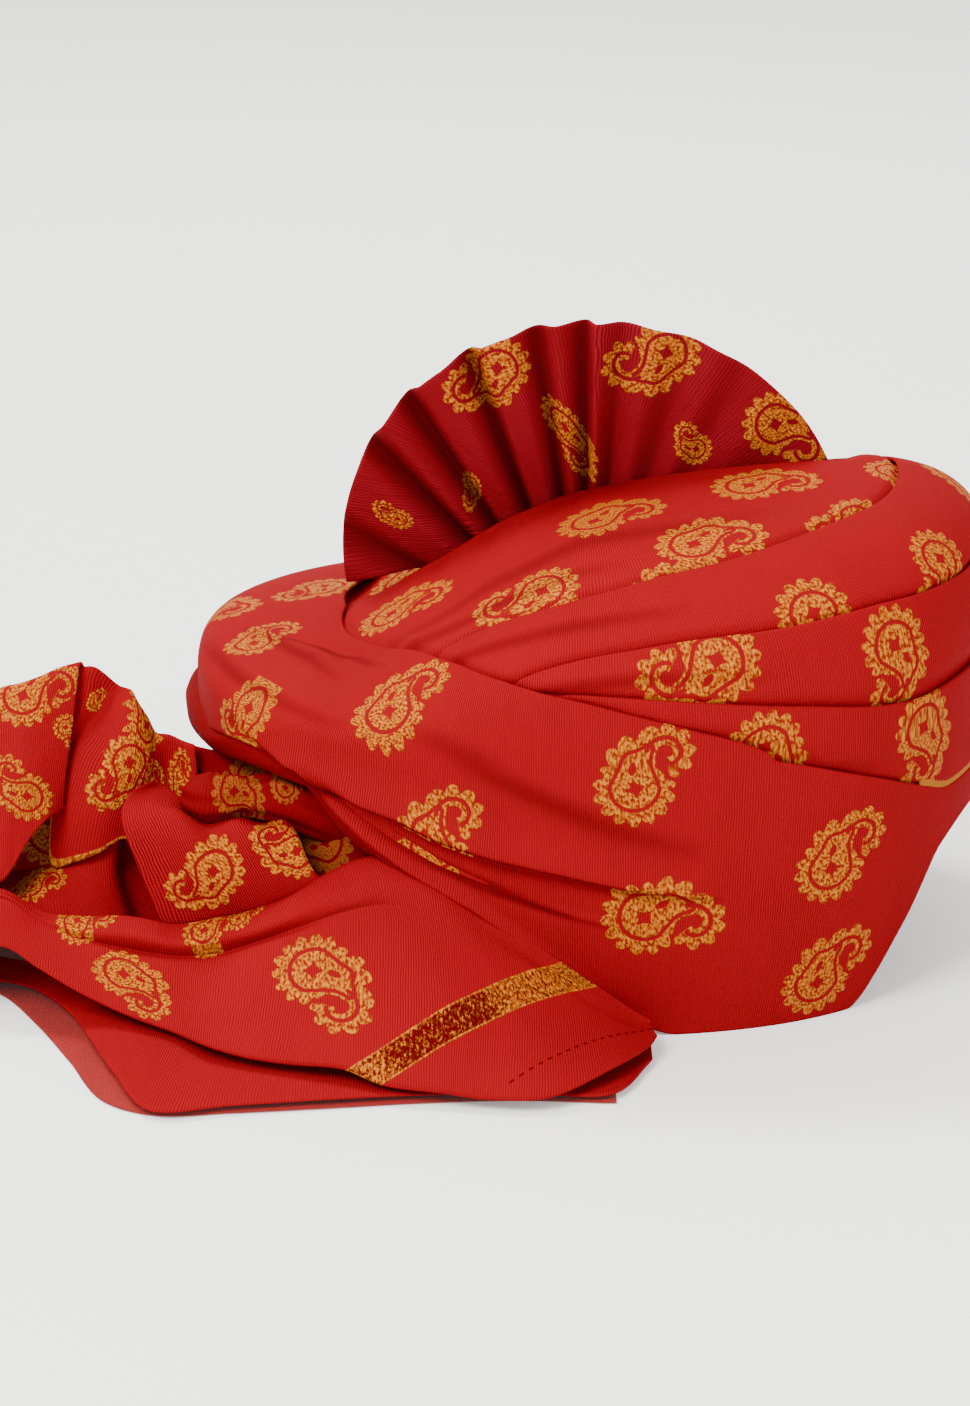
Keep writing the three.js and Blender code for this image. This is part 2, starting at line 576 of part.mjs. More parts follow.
// A draped sheet through a table of sections, smooth along and across them.
function drapedSheet(sections, steps, stepsAcross) {
  const lines = sections.map((section) => (
    new THREE.CatmullRomCurve3(Object.values(section).map((point) => new THREE.Vector3(...point)))));
  const grid = [];
  for (let j = 0; j <= stepsAcross; j += 1) {
    const along = new THREE.CatmullRomCurve3(lines.map((line) => line.getPoint(j / stepsAcross)));
    const line = [];
    for (let i = 0; i <= steps; i += 1) line.push(along.getPoint(i / steps));
    grid.push(line);
  }
  return sheetSolid(grid, gridNormal(grid), CLOTH);
}

// The turra: a half disc of knife pleats that stands in the crown's slit, down to the crown.
function fanSheet(crown) {
  const crownMesh = new THREE.Mesh(crown, new THREE.MeshBasicMaterial());
  const down = new THREE.Vector3(0, 0, -1);
  const shift = new THREE.Vector3(...FRAME_SHIFT);
  const crownHeight = (x, y) => {
    const above = new THREE.Vector3(x, y, 2 * WIDEST_HEIGHT).add(shift);
    return new THREE.Raycaster(above, down).intersectObject(crownMesh)[0].point.z;
  };
  const [middleX, middleY, middleZ] = FAN_CENTRE;
  const columns = FAN_PLEATS * FAN_STEPS_PER_PLEAT;
  const place = (angle, pleat, share) => {
    const depth = FAN_PLEAT_DEPTH * share * Math.sin(2 * Math.PI * pleat);
    return new THREE.Vector3(
      middleX + FAN_WIDTH_RADIUS * share * Math.cos(radians(angle)),
      middleY + depth,
      middleZ + FAN_HEIGHT_RADIUS * share * Math.sin(radians(angle)),
    );
  };
  const grid = [];
  for (let k = 0; k <= columns; k += 1) {
    const angle = mix(FAN_START, FAN_END, k / columns);
    const pleat = k / FAN_STEPS_PER_PLEAT;
    let share = 1;
    const clearOfCrown = (at) => {
      const point = place(angle, pleat, at);
      const ground = Math.max(...[-CLOTH, 0, CLOTH].map((side) => crownHeight(point.x, point.y + side)));
      return point.z > ground + SEAT_GAP;
    };
    while (share > FOOT_STEP && clearOfCrown(share - FOOT_STEP)) share -= FOOT_STEP;
    const line = [];
    for (let row = 0; row <= FAN_ROWS; row += 1) line.push(place(angle, pleat, mix(share, 1, row / FAN_ROWS)));
    grid.push(line);
  }
  return sheetSolid(grid, gridNormal(grid), CLOTH);
}

function gatherBundle() {
  const path = new THREE.CatmullRomCurve3(TAIL_GATHER.map((row) => new THREE.Vector3(...row.centre)));
  const steps = 12;
  const sides = 10;
  const centres = [];
  const radii = [];
  for (let k = 0; k <= steps; k += 1) {
    const at = (k / steps) * (TAIL_GATHER.length - 1);
    const row = Math.min(Math.floor(at), TAIL_GATHER.length - 2);
    centres.push(path.getPoint(k / steps));
    radii.push(mix(TAIL_GATHER[row].radius, TAIL_GATHER[row + 1].radius, at - row));
  }
  return tube(centres, radii, sides, false);
}

const red = { color: 0xb5161b, roughness: 0.78, metalness: 0 };
const darkRed = { color: 0x8c1016, roughness: 0.82, metalness: 0 };
const gold = { color: 0xc98a35, roughness: 0.55, metalness: 0.35 };

const crown = crownShell();
const pieces = [
  ['crown', crown, red],
  ['turn_1', turnShell('turn_1', -0.1, 0.16), red],
  ['turn_2', turnShell('turn_2', -0.35, 0.13), red],
  ['turn_3', turnShell('turn_3', -1, 0.08), red],
  ['outer_band', bandShell(), red],
  ['front_border', frontBorder(), gold],
  ['wound_core', coreShell(), darkRed],
  ['rim_roll', rimRoll(), darkRed],
  ['turra_fan', fanSheet(crown), red],
  ['tail_gather', gatherBundle(), darkRed],
  ['tail_loop', drapedSheet(TAIL_LOOP, 12, 10), red],
  ['tail_back_fold', drapedSheet(TAIL_BACK_FOLD, 10, 8), red],
  ['tail_mid_fold', drapedSheet(TAIL_MID_FOLD, 12, 6), red],
  ['tail_end_panel', drapedSheet(TAIL_END_PANEL, 24, 7), red],
  ['tail_middle_layer', drapedSheet(TAIL_MIDDLE_LAYER, 14, 4), red],
  ['tail_lower_layer', drapedSheet(TAIL_LOWER_LAYER, 18, 2), red],
];

const group = new THREE.Group();
for (const [name, geometry, finish] of pieces) {
  const mesh = new THREE.Mesh(geometry, new THREE.MeshStandardMaterial(finish));
  mesh.name = name;
  group.add(mesh);
}

export default group;
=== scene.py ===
import math
import bpy
import numpy as np
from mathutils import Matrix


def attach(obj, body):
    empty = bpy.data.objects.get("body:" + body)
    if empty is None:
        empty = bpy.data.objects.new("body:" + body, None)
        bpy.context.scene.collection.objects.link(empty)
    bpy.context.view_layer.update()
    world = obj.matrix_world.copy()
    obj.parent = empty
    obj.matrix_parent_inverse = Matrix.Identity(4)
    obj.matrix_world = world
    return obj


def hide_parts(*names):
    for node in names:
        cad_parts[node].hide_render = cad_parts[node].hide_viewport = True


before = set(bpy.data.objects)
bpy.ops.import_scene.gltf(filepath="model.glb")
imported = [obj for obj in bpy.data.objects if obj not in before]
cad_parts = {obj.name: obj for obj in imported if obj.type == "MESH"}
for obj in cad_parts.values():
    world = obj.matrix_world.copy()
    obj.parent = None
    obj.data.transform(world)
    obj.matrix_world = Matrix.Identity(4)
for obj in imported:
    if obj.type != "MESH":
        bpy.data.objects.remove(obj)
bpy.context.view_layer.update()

# The table: a plain pale surface that the turban and its tail lie on, seen from 20 degrees above.
# The light is a large soft box from the upper left, a weaker one behind, and fill all round.
CAMERA_TARGET = (0.0275, 0.0302, 0.091)
CAMERA_DISTANCE = 1.5
CAMERA_ELEVATION = math.radians(20)
LENS_MM, FILM_MM = 98.5, 36
ROOM_COLOR, ROOM_STRENGTH = (1, 1, 0.99, 1), 1.4
TABLE_SIDE = 16
TABLE_COLOR = (0.80, 0.80, 0.775, 1)
TABLE_GLOW, TABLE_GLOW_STRENGTH = (1.0, 1.0, 0.975, 1), 0.24
SOFTBOXES = {
    # where it hangs and its side in metres, then its power in watts
    "key_softbox": ((-0.70, -1.05, 1.45), 0.8, 61),
    "right_fill": ((1.5, -0.7, 0.8), 1.2, 14),
    "back_fill": ((0.2, 1.5, 1.1), 1.2, 8),
    "back_window": ((-0.8, 1.1, 2.6), 0.7, 100),
}

camera_data = bpy.data.cameras.new("photo_camera")
camera_data.lens = LENS_MM
camera_data.sensor_width = FILM_MM
camera = bpy.data.objects.new("photo_camera", camera_data)
camera.location = (
    CAMERA_TARGET[0],
    CAMERA_TARGET[1] - CAMERA_DISTANCE * math.cos(CAMERA_ELEVATION),
    CAMERA_TARGET[2] + CAMERA_DISTANCE * math.sin(CAMERA_ELEVATION),
)
camera.rotation_euler = (math.pi / 2 - CAMERA_ELEVATION, 0, 0)
bpy.context.collection.objects.link(camera)
bpy.context.scene.camera = camera

for lamp_name, (place, size, watts) in SOFTBOXES.items():
    lamp = bpy.data.lights.new(lamp_name, "AREA")
    lamp.size = size
    lamp.energy = watts
    lamp_object = bpy.data.objects.new(lamp_name, lamp)
    lamp_object.location = place
    aim = np.array(CAMERA_TARGET) - np.array(place)
    lamp_object.rotation_euler = (
        math.atan2(math.hypot(aim[0], aim[1]), -aim[2]), 0, math.atan2(-aim[0], aim[1]))
    bpy.context.collection.objects.link(lamp_object)

world = bpy.data.worlds.new("pale_room")
world.use_nodes = True
room_light = world.node_tree.nodes["Background"]
room_light.inputs["Color"].default_value = ROOM_COLOR
room_light.inputs["Strength"].default_value = ROOM_STRENGTH
bpy.context.scene.world = world

bpy.ops.object.select_all(action="DESELECT")
bpy.ops.mesh.primitive_plane_add(size=TABLE_SIDE, location=(0, 0, 0))
table = bpy.context.object
table.name = "table_surface"
table_paint = bpy.data.materials.new("pale_table")
table_paint.use_nodes = True
table_shader = table_paint.node_tree.nodes["Principled BSDF"]
table_shader.inputs["Base Color"].default_value = TABLE_COLOR
table_shader.inputs["Roughness"].default_value = 0.9
table_shader.inputs["Emission Color"].default_value = TABLE_GLOW
table_shader.inputs["Emission Strength"].default_value = TABLE_GLOW_STRENGTH
table.data.materials.append(table_paint)


# The crown: the first cloth over the head, drawn up to the slit that holds the fan.
# One width of ribbed red cloth with woven gold paisleys, pulled tight over the wound core.
# Sizes are millimetres from the turban's own middle, and SHIFT brings them into the frame.
SHIFT = np.array([66.5, 30.2, 0.0])
HALF_LENGTH_FRONT, HALF_LENGTH_BACK, HALF_WIDTH = 156, 150, 124
PLAN_POWER, WIDEST_HEIGHT, LOWER_TAPER = 2.3, 110, 0.10
SHOULDER_SIDE, SHOULDER_FRONT, SHOULDER_BACK = 0.72, 0.40, 0.60
SLOPE_NEAR, SLOPE_FAR, RIDGE_ROUNDING = 0.0008, 0.0040, 18
TURN_STEP = 2.6
CLOTH = 1.3
# Millimetres for one degree round the body, and for one whole level up it.
BODY_SCALE = np.array([2.1, 130])
# How far along the body, and how high the ridge stands there over the widest level.
RIDGE = [(-155, 24), (-130, 23), (-95, 23), (-60, 39), (-30, 56.5), (0, 68), (40, 75), (85, 80),
         (130, 84), (160, 86)]
TURNS = ["turn_1", "turn_2", "turn_3", "band", "rim"]
EDGE_ROWS = [
    # around, then the level of each turn's upper edge and of the rim
    (0, 0.66, 0.24, 0.02, -0.22, -0.34), (20, 0.66, 0.24, 0.02, -0.23, -0.37),
    (28, 0.67, 0.26, 0.02, -0.24, -0.45), (34, 0.67, 0.28, 0.02, -0.20, -0.71),
    (42, 0.66, 0.31, 0.03, -0.13, -1), (57, 0.63, 0.33, 0.08, -0.02, -1),
    (73, 0.61, 0.35, 0.14, 0.06, -1), (88, 0.58, 0.34, 0.19, 0.15, -0.87),
    (99, 0.57, 0.32, 0.22, 0.23, -0.75), (109, 0.57, 0.27, 0.20, 0.34, -0.59),
    (118, 0.56, 0.24, 0.16, 0.46, -0.47), (131, 0.47, 0.24, 0.14, 0.58, -0.26),
    (139, 0.42, 0.25, 0.14, 0.62, -0.09), (150, 0.38, 0.27, 0.16, 0.66, -0.07),
    (165, 0.34, 0.24, 0.13, 0.68, -0.12), (180, 0.32, 0.22, 0.11, 0.70, -0.14),
]


def smooth(rows, x):
    """Smooth value at x through rows of (place, value), without overshoot."""
    places, values = np.array(rows, float).T
    x = np.clip(x, places[0], places[-1])
    i = np.clip(np.searchsorted(places, x, side="right") - 1, 0, len(places) - 2)
    step = np.diff(places)
    slope = np.diff(values) / step
    product = slope[:-1] * slope[1:]
    total = np.where(slope[:-1] + slope[1:] == 0, 1, slope[:-1] + slope[1:])
    bend = np.where(product <= 0, 0, 2 * product / total)
    tangent = np.concatenate([slope[:1], bend, slope[-1:]])
    t = (x - places[i]) / step[i]
    rise = t * t * (3 - 2 * t)
    sway = t * (1 - t) ** 2 * tangent[i] - t * t * (1 - t) * tangent[i + 1]
    return values[i] * (1 - rise) + values[i + 1] * rise + step[i] * sway


def ease(x, start, end):
    """0 before start, 1 after end, and a smooth rise between."""
    t = np.clip((x - start) / (end - start), 0, 1)
    return t * t * (3 - 2 * t)


def around_front(azimuth):
    """The angle counted from the front, from -180 to 180: the near side is below 0."""
    return (azimuth + 540) % 360 - 180


def from_front(azimuth):
    return np.abs(around_front(azimuth))


def edge_level(azimuth, turn):
    """The level of a turn's upper edge, or of the rim."""
    column = TURNS.index(turn) + 1
    return smooth([(row[0], row[column]) for row in EDGE_ROWS], from_front(azimuth))


def body_point(azimuth, level):
    """The turban's outer face in millimetres from its own middle, at a level from 1, the top of
    the dome, through 0, the widest level, to -1, the table."""
    azimuth, level = np.broadcast_arrays(np.asarray(azimuth, float), np.asarray(level, float))
    along, across = np.cos(np.radians(azimuth)), np.sin(np.radians(azimuth))
    half_length = np.where(along > 0, HALF_LENGTH_FRONT, HALF_LENGTH_BACK)
    plan = (np.abs(along / half_length) ** PLAN_POWER + np.abs(across / HALF_WIDTH) ** PLAN_POWER
            ) ** (-1 / PLAN_POWER)
    end = np.where(along > 0, SHOULDER_FRONT, SHOULDER_BACK)
    power = SHOULDER_SIDE + (end - SHOULDER_SIDE) * along * along
    lean = np.clip(level, 0, 1) * np.pi / 2
    below = np.clip(-level, 0, None)
    radius = plan * np.where(level >= 0, np.cos(lean) ** power, 1 - LOWER_TAPER * below ** 2)
    x, y = radius * along, radius * across
    sideways = np.hypot(y, RIDGE_ROUNDING) - RIDGE_ROUNDING
    rise = smooth(RIDGE, x) * (1 - np.where(y > 0, SLOPE_FAR, SLOPE_NEAR) * sideways)
    z = np.where(level >= 0, WIDEST_HEIGHT + rise * np.sin(lean) ** power,
                 WIDEST_HEIGHT * (1 - below))
    return np.stack([x, y, z], -1)


def unit(vectors):
    return vectors / np.maximum(np.linalg.norm(vectors, axis=-1, keepdims=True), 1e-9)


def body_frame(azimuth, level):
    """Unit vectors round the body, up it and out of it."""
    at = np.minimum(level, 0.985)
    around = body_point(azimuth + 0.05, at) - body_point(azimuth - 0.05, at)
    up = body_point(azimuth, at + 0.001) - body_point(azimuth, at - 0.001)
    out = unit(np.cross(around, up))
    around = unit(around)
    return around, np.cross(out, around), out


def depth_under(azimuth, level, turn):
    """How far a turn is pressed in by the later turns that lie over it."""
    later = TURNS[:4] if turn == "crown" else TURNS[TURNS.index(turn) + 1:4]
    depth = np.zeros(np.broadcast(azimuth, level).shape)
    for other in later:
        edge = edge_level(azimuth, other)
        depth += TURN_STEP * (1 - ease(level, edge + 0.002, edge + 0.035))
    return depth


def crease(azimuth, level, line, width, height, flap=False):
    """Height and painted shade of one fold along a line of (around, level) places on the near
    side, dying out at both ends. A flap is steep on its lower side, with painted shade under it."""
    here = np.stack(np.broadcast_arrays(around_front(azimuth), level), -1) * BODY_SCALE
    nodes = np.array(line, float) * BODY_SCALE
    best = np.full(here.shape[:-1], 1e9)
    signed = np.zeros_like(best)
    share = np.zeros_like(best)
    lengths = np.linalg.norm(np.diff(nodes, axis=0), axis=1)
    whole = lengths.sum()
    before = 0.0
    for start, end, length in zip(nodes[:-1], nodes[1:], lengths):
        way = (end - start) / length
        t = np.clip((here - start) @ way, 0, length)
        away = here - start - t[..., None] * way
        gap = np.linalg.norm(away, axis=-1)
        closer = gap < best
        best = np.where(closer, gap, best)
        side = way[0] * away[..., 1] - way[1] * away[..., 0]
        signed = np.where(closer, np.sign(side) * gap, signed)
        share = np.where(closer, (before + t) / whole, share)
        before += length
    fade = np.sin(np.pi * np.clip(share, 0, 1)) ** 0.6
    if flap:
        profile = np.where(signed > 0, np.exp(-(signed / (2.0 * width)) ** 2),
                           1.5 * np.exp(-(signed / (0.30 * width)) ** 2)
                           - 0.5 * np.exp(-(signed / (1.3 * width)) ** 2))
        shade = np.where(signed > 0, np.exp(-(signed / 0.7) ** 2), np.exp(-(signed / 3.2) ** 2))
    else:
        profile = np.exp(-(signed / width) ** 2)
        shade = np.where(signed > 0, 0.0, 0.45) * np.exp(-((signed + width) / (0.7 * width)) ** 2)
        if height < -2:
            shade = 0.85 * np.exp(-(signed / (0.8 * width)) ** 2)
    return np.stack([height * fade * profile, fade * np.broadcast_to(shade, fade.shape)])


def cloth_lengths(grid, ring):
    """Lengths along and across the cloth at the columns and rows of a grid of points."""
    columns, rows = grid.shape[:2]
    follow = np.roll(grid, -1, 0) if ring else grid[1:]
    steps = np.linalg.norm(follow - grid[:len(follow)], axis=-1).mean(1)
    rises = np.linalg.norm(np.diff(grid, axis=1), axis=-1).mean(0)
    return np.concatenate([[0], np.cumsum(steps)]), np.concatenate([[0], np.cumsum(rises)])


# A paisley's own map counts tens of millimetres. It shows within 10 mm of its own plane, and only
# those this far round from the front are repeated on the far side.
BUTTI_UNIT, NO_BUTTI, BUTTI_DEPTH = 10, 9.0, 10
BUTTI_LEAN = 58
MIRRORED_FROM, MIRRORED_TO = 14, 166


def butti_frames(point, around, up, tips, sizes, widths=1.0):
    """Centres and axes of woven paisleys: the tip's direction is counted from around to up, and
    a width below 1 is a paisley seen narrow in a pleat."""
    turn = np.radians(np.asarray(tips, float) - BUTTI_LEAN)
    first = unit(around) * np.cos(turn)[:, None] + unit(up) * np.sin(turn)[:, None]
    out = unit(np.cross(around, up))
    slim = np.broadcast_to(np.asarray(widths, float), turn.shape)[:, None]
    return point, first / slim, np.cross(out, first), np.asarray(sizes, float)


def body_buttis(rows):
    """Paisleys on the body at rows of (around, level, tip, size), and their like on the far side."""
    far = [(-row[0], row[1], 180 - row[2], row[3]) for row in rows
           if MIRRORED_FROM < -row[0] < MIRRORED_TO]
    azimuth, level, tip, size = np.array(rows + far, float).T
    around, up, _ = body_frame(azimuth, level)
    return butti_frames(body_point(azimuth, level), around, up, tip, size)


def weave_mesh(name, vertices, faces, cloth, buttis, shade=None, hidden=None):
    """A mesh in the frame's metres with two UV maps: the cloth's own lengths, and the place in
    the nearest paisley. cloth holds one (u, v) for each corner of each face, shade is the painted
    shade at each vertex in a fold, from 0 to 1, and hidden marks where no paisley shows."""
    a, b, c, d = (vertices[faces[:, k]] for k in range(4))
    if (np.cross(c - a, d - b) * (a + b + c + d)).sum() < 0:
        faces, cloth = faces[:, ::-1], cloth.reshape(len(faces), 4, 2)[:, ::-1]
    mesh = bpy.data.meshes.new(name)
    mesh.from_pydata(((vertices + SHIFT) / 1000).tolist(), [], faces.tolist())
    corners = faces.reshape(-1)
    mesh.uv_layers.new(name="cloth").uv.foreach_set("vector", cloth.reshape(-1).astype(np.float32))
    local = np.full((len(corners), 2), NO_BUTTI)
    if buttis is not None:
        middle = vertices[faces].mean(1)
        centres, first, second, sizes = buttis
        away = middle[:, None, :] - centres[None]
        nearest = np.argmin((away ** 2).sum(-1), 1)
        pick = np.repeat(nearest, faces.shape[1])
        apart = vertices[corners] - centres[pick]
        local[:, 0] = (apart * first[pick]).sum(-1) / (BUTTI_UNIT * sizes[pick])
        local[:, 1] = (apart * second[pick]).sum(-1) / (BUTTI_UNIT * sizes[pick])
        out = np.cross(first, second)
        off = np.abs((apart * unit(out)[pick]).sum(-1)) > BUTTI_DEPTH
        if hidden is not None:
            off |= hidden.reshape(-1)[corners]
        local[np.repeat(off.reshape(faces.shape).any(1), faces.shape[1])] = NO_BUTTI
    mesh.uv_layers.new(name="butti").uv.foreach_set("vector", local.reshape(-1).astype(np.float32))
    painted_fold_shade = mesh.attributes.new("fold_shade", "FLOAT", "POINT")
    painted_fold_shade.data.foreach_set("value", np.zeros(len(vertices), np.float32) if shade is None
                              else shade.reshape(-1).astype(np.float32))
    mesh.polygons.foreach_set("use_smooth", np.ones(len(faces), bool))
    mesh.update()
    piece = bpy.data.objects.new(name, mesh)
    bpy.context.collection.objects.link(piece)
    return piece


def grid_faces(columns, rows, ring, closed):
    """Quads of a grid whose vertices run down each column in turn."""
    i = np.arange(columns if ring else columns - 1)[:, None]
    j = np.arange(rows if closed else rows - 1)[None, :]
    following, below = (i + 1) % columns, (j + 1) % rows
    quads = np.stack([i * rows + j, i * rows + below, following * rows + below,
                      following * rows + j], -1)
    return quads.reshape(-1, 4), i, j


def cloth_corners(along, across, i, j):
    """The cloth's own lengths, in metres, at the four corners of each quad of a grid."""
    u0, u1, v0, v1 = np.broadcast_arrays(along[i], along[i + 1], across[j], across[j + 1])
    corners = [np.stack(corner, -1) for corner in ((u0, v0), (u0, v1), (u1, v1), (u1, v0))]
    return np.stack(corners, 2).reshape(-1, 4, 2) / 1000


def wrapped_cloth(name, grid, buttis, shade=None, hidden=None, closed=True):
    """A ring of cloth: grid holds, for each azimuth, a run of points down the outer face and
    back up the inner one, which is closed unless its two ends are left open."""
    faces, i, j = grid_faces(*grid.shape[:2], True, closed)
    along, across = cloth_lengths(grid, True)
    last = np.linalg.norm(grid[:, 0] - grid[:, -1], axis=-1).mean()
    cloth = cloth_corners(along, np.append(across, across[-1] + last), i, j)
    return weave_mesh(name, grid.reshape(-1, 3), faces, cloth, buttis, shade, hidden)


class Thread:
    """A socket of a material's node tree, so that its sums are written as Python's own."""

    def __init__(self, tree, socket=None):
        self.tree = tree
        self.socket = socket

    def make(self, kind, settings=None, values=None, output=0):
        """Any node, with its settings and its inputs, as the thread of one of its outputs."""
        node = self.tree.nodes.new(kind)
        for key, setting in (settings or {}).items():
            setattr(node, key, setting)
        for key, value in (values or {}).items():
            if isinstance(value, Thread):
                self.tree.links.new(value.socket, node.inputs[key])
            else:
                node.inputs[key].default_value = value
        return Thread(self.tree, node.outputs[output])

    def sum(self, operation, *terms):
        return self.make("ShaderNodeMath", {"operation": operation}, dict(enumerate(terms)))

    def __add__(self, other):
        return self.sum("ADD", self, other)

    __radd__ = __add__

    def __mul__(self, other):
        return self.sum("MULTIPLY", self, other)

    __rmul__ = __mul__

    def __sub__(self, other):
        return self.sum("SUBTRACT", self, other)

    def __rsub__(self, other):
        return self.sum("SUBTRACT", other, self)

    def __truediv__(self, other):
        return self.sum("DIVIDE", self, other)

    def __pow__(self, other):
        return self.sum("POWER", self, other)

    def least(self, other):
        return self.sum("MINIMUM", self, other)

    def most(self, other):
        return self.sum("MAXIMUM", self, other)

    def size(self):
        return self.sum("ABSOLUTE", self)

    def wave(self, pitch=2 * math.pi):
        """A sine wave from -1 to 1 that repeats at each pitch."""
        return self.sum("SINE", self * (2 * math.pi / pitch))

    def bearing(self, across):
        return self.sum("ARCTAN2", self, across)

    def split(self):
        node = self.make("ShaderNodeSeparateXYZ", values={0: self}).socket.node
        return Thread(self.tree, node.outputs[0]), Thread(self.tree, node.outputs[1])

    def step(self, start, end):
        """0 at start, 1 at end, and a smooth rise between."""
        return self.make("ShaderNodeMapRange", {"interpolation_type": "SMOOTHSTEP"},
                         {"Value": self, "From Min": start, "From Max": end})

    def tint(self, color, other):
        """color where the thread is 0 and other where it is 1."""
        return self.make("ShaderNodeMix", {"data_type": "RGBA"}, {0: self, 6: color, 7: other}, 2)


RED, RED_DEEP = (0.222, 0.0026, 0.0056, 1), (0.190, 0.0020, 0.0046, 1)
GOLD, GOLD_DARK = (0.42, 0.130, 0.009, 1), (0.19, 0.028, 0.003, 1)
ZARI_GROUND = (0.07, 0.0006, 0.001, 1)
STITCH_RED = (0.04, 0.0004, 0.0006, 1)
# The colour of the painted shade in creases and under flaps.
FOLD_PAINTED_SHADE = (0.022, 0.0003, 0.0006, 1)
# Lengths on the cloth in metres: ribs, weft, the gold band's half width and the hem's stitches.
RIB_PITCH, RIB_WANDER, WEFT_PITCH = 0.00098, 0.0016, 0.0009
ZARI_HALF, ZARI_RED, ZARI_BARE = 0.0062, 0.0054, (0.006, 0.014, 0.046, 0.060)
STITCH_PITCH, STITCH_HALF = 0.0042, 0.00035
EDGE_FADE = (-0.0002, 0.0003)
# The paisley in millimetres: where its drop's middle lies, its parts' sizes, its buds and hook.
BUTTI_MIDDLE = (3.0, 5.0)
DROP_BODY, DROP_NECK = (0, 0, 7.8, -0.6, 8.0, 4.4), (-0.6, 8.0, 4.4, 3.2, 14.6, 0.6)
BUD_WAVES, BUD_HEIGHT, RING_WIDTH, RING_NARROWED = 7.5, 3.3, 3.9, 1.3
HOOK_MIDDLE, HOOK_REACH, HOOK_SHRINK, HOOK_END = (9.9, 13.3), 7.4, 5.4, 0.71
HOOK_BUD_WAVES, HOOK_BUD_HEIGHT, HOOK_WIDTH = 4.6, 3.2, 2.3
CRISP = (0.35, -0.25)


def paisley(x, y):
    """1 on the gold of a paisley and 0 off it: a drop with a star and a leaf left open in it, a
    ring of buds round the drop, and a neck that curls into a hook."""

    def cone(ax, ay, wide, bx, by, narrow):
        run_x, run_y = bx - ax, by - ay
        share = (((x - ax) * run_x + (y - ay) * run_y) / (run_x ** 2 + run_y ** 2)).most(0).least(1)
        gap_x, gap_y = x - ax - share * run_x, y - ay - share * run_y
        return (gap_x * gap_x + gap_y * gap_y) ** 0.5 - (share * (narrow - wide) + wide)

    drop = cone(*DROP_BODY).least(cone(*DROP_NECK))
    inner_side = y.step(2, 9) * x.step(0, 3)
    buds = y.bearing(x).wave(2 * math.pi / BUD_WAVES).size() ** 0.75
    ring = drop - (RING_WIDTH - inner_side * RING_NARROWED) - buds * (1 - inner_side) * BUD_HEIGHT
    hook_x, hook_y = x - HOOK_MIDDLE[0], y - HOOK_MIDDLE[1]
    sweep = hook_y.bearing(hook_x)
    turn = (math.pi - sweep) / (2 * math.pi)
    spiral = (hook_x * hook_x + hook_y * hook_y) ** 0.5 + turn * HOOK_SHRINK - HOOK_REACH
    on_hook = turn.step(HOOK_END + 0.02, HOOK_END - 0.02)
    hook_buds = (sweep * HOOK_BUD_WAVES + 0.4).wave().size() ** 0.75
    hook = (spiral - HOOK_WIDTH - hook_buds * HOOK_BUD_HEIGHT * turn.step(0.0, 0.08)).step(*CRISP)
    hook = hook * spiral.step(-3.0, -2.5) * on_hook
    red_lines = (drop - 1.0).size().step(0.95, 0.55).most(spiral.size().step(1.0, 0.6) * on_hook)
    star_x = ((x - 0.3) * 0.92 + (y + 0.6) * 0.39).size()
    star_y = ((y + 0.6) * 0.92 - (x - 0.3) * 0.39).size()
    star = (star_x ** 0.7 + star_y ** 0.7).step(2.75, 2.45)
    leaf = (((x + 1.6) / 1.3) ** 2 + ((y - 6.6) / 2.6) ** 2).step(1.0, 0.75)
    return ring.step(*CRISP).most(hook) * (1 - red_lines) * (1 - star) * (1 - leaf)


def from_line(start, line):
    """Distances along and across a line laid on the cloth: its two ends, in millimetres, and the
    way that the cloth faces there."""
    here = start.make("ShaderNodeTexCoord", output=3)
    first, last, out = (np.array(part, float) for part in line)
    way = unit(last - first)
    away = start.make("ShaderNodeVectorMath", {"operation": "SUBTRACT"},
                      {0: here, 1: tuple((first + SHIFT) / 1000)})
    return [start.make("ShaderNodeVectorMath", {"operation": "DOT_PRODUCT"},
                       {0: away, 1: tuple(axis)}, 1) for axis in (way, np.cross(unit(out), way))]


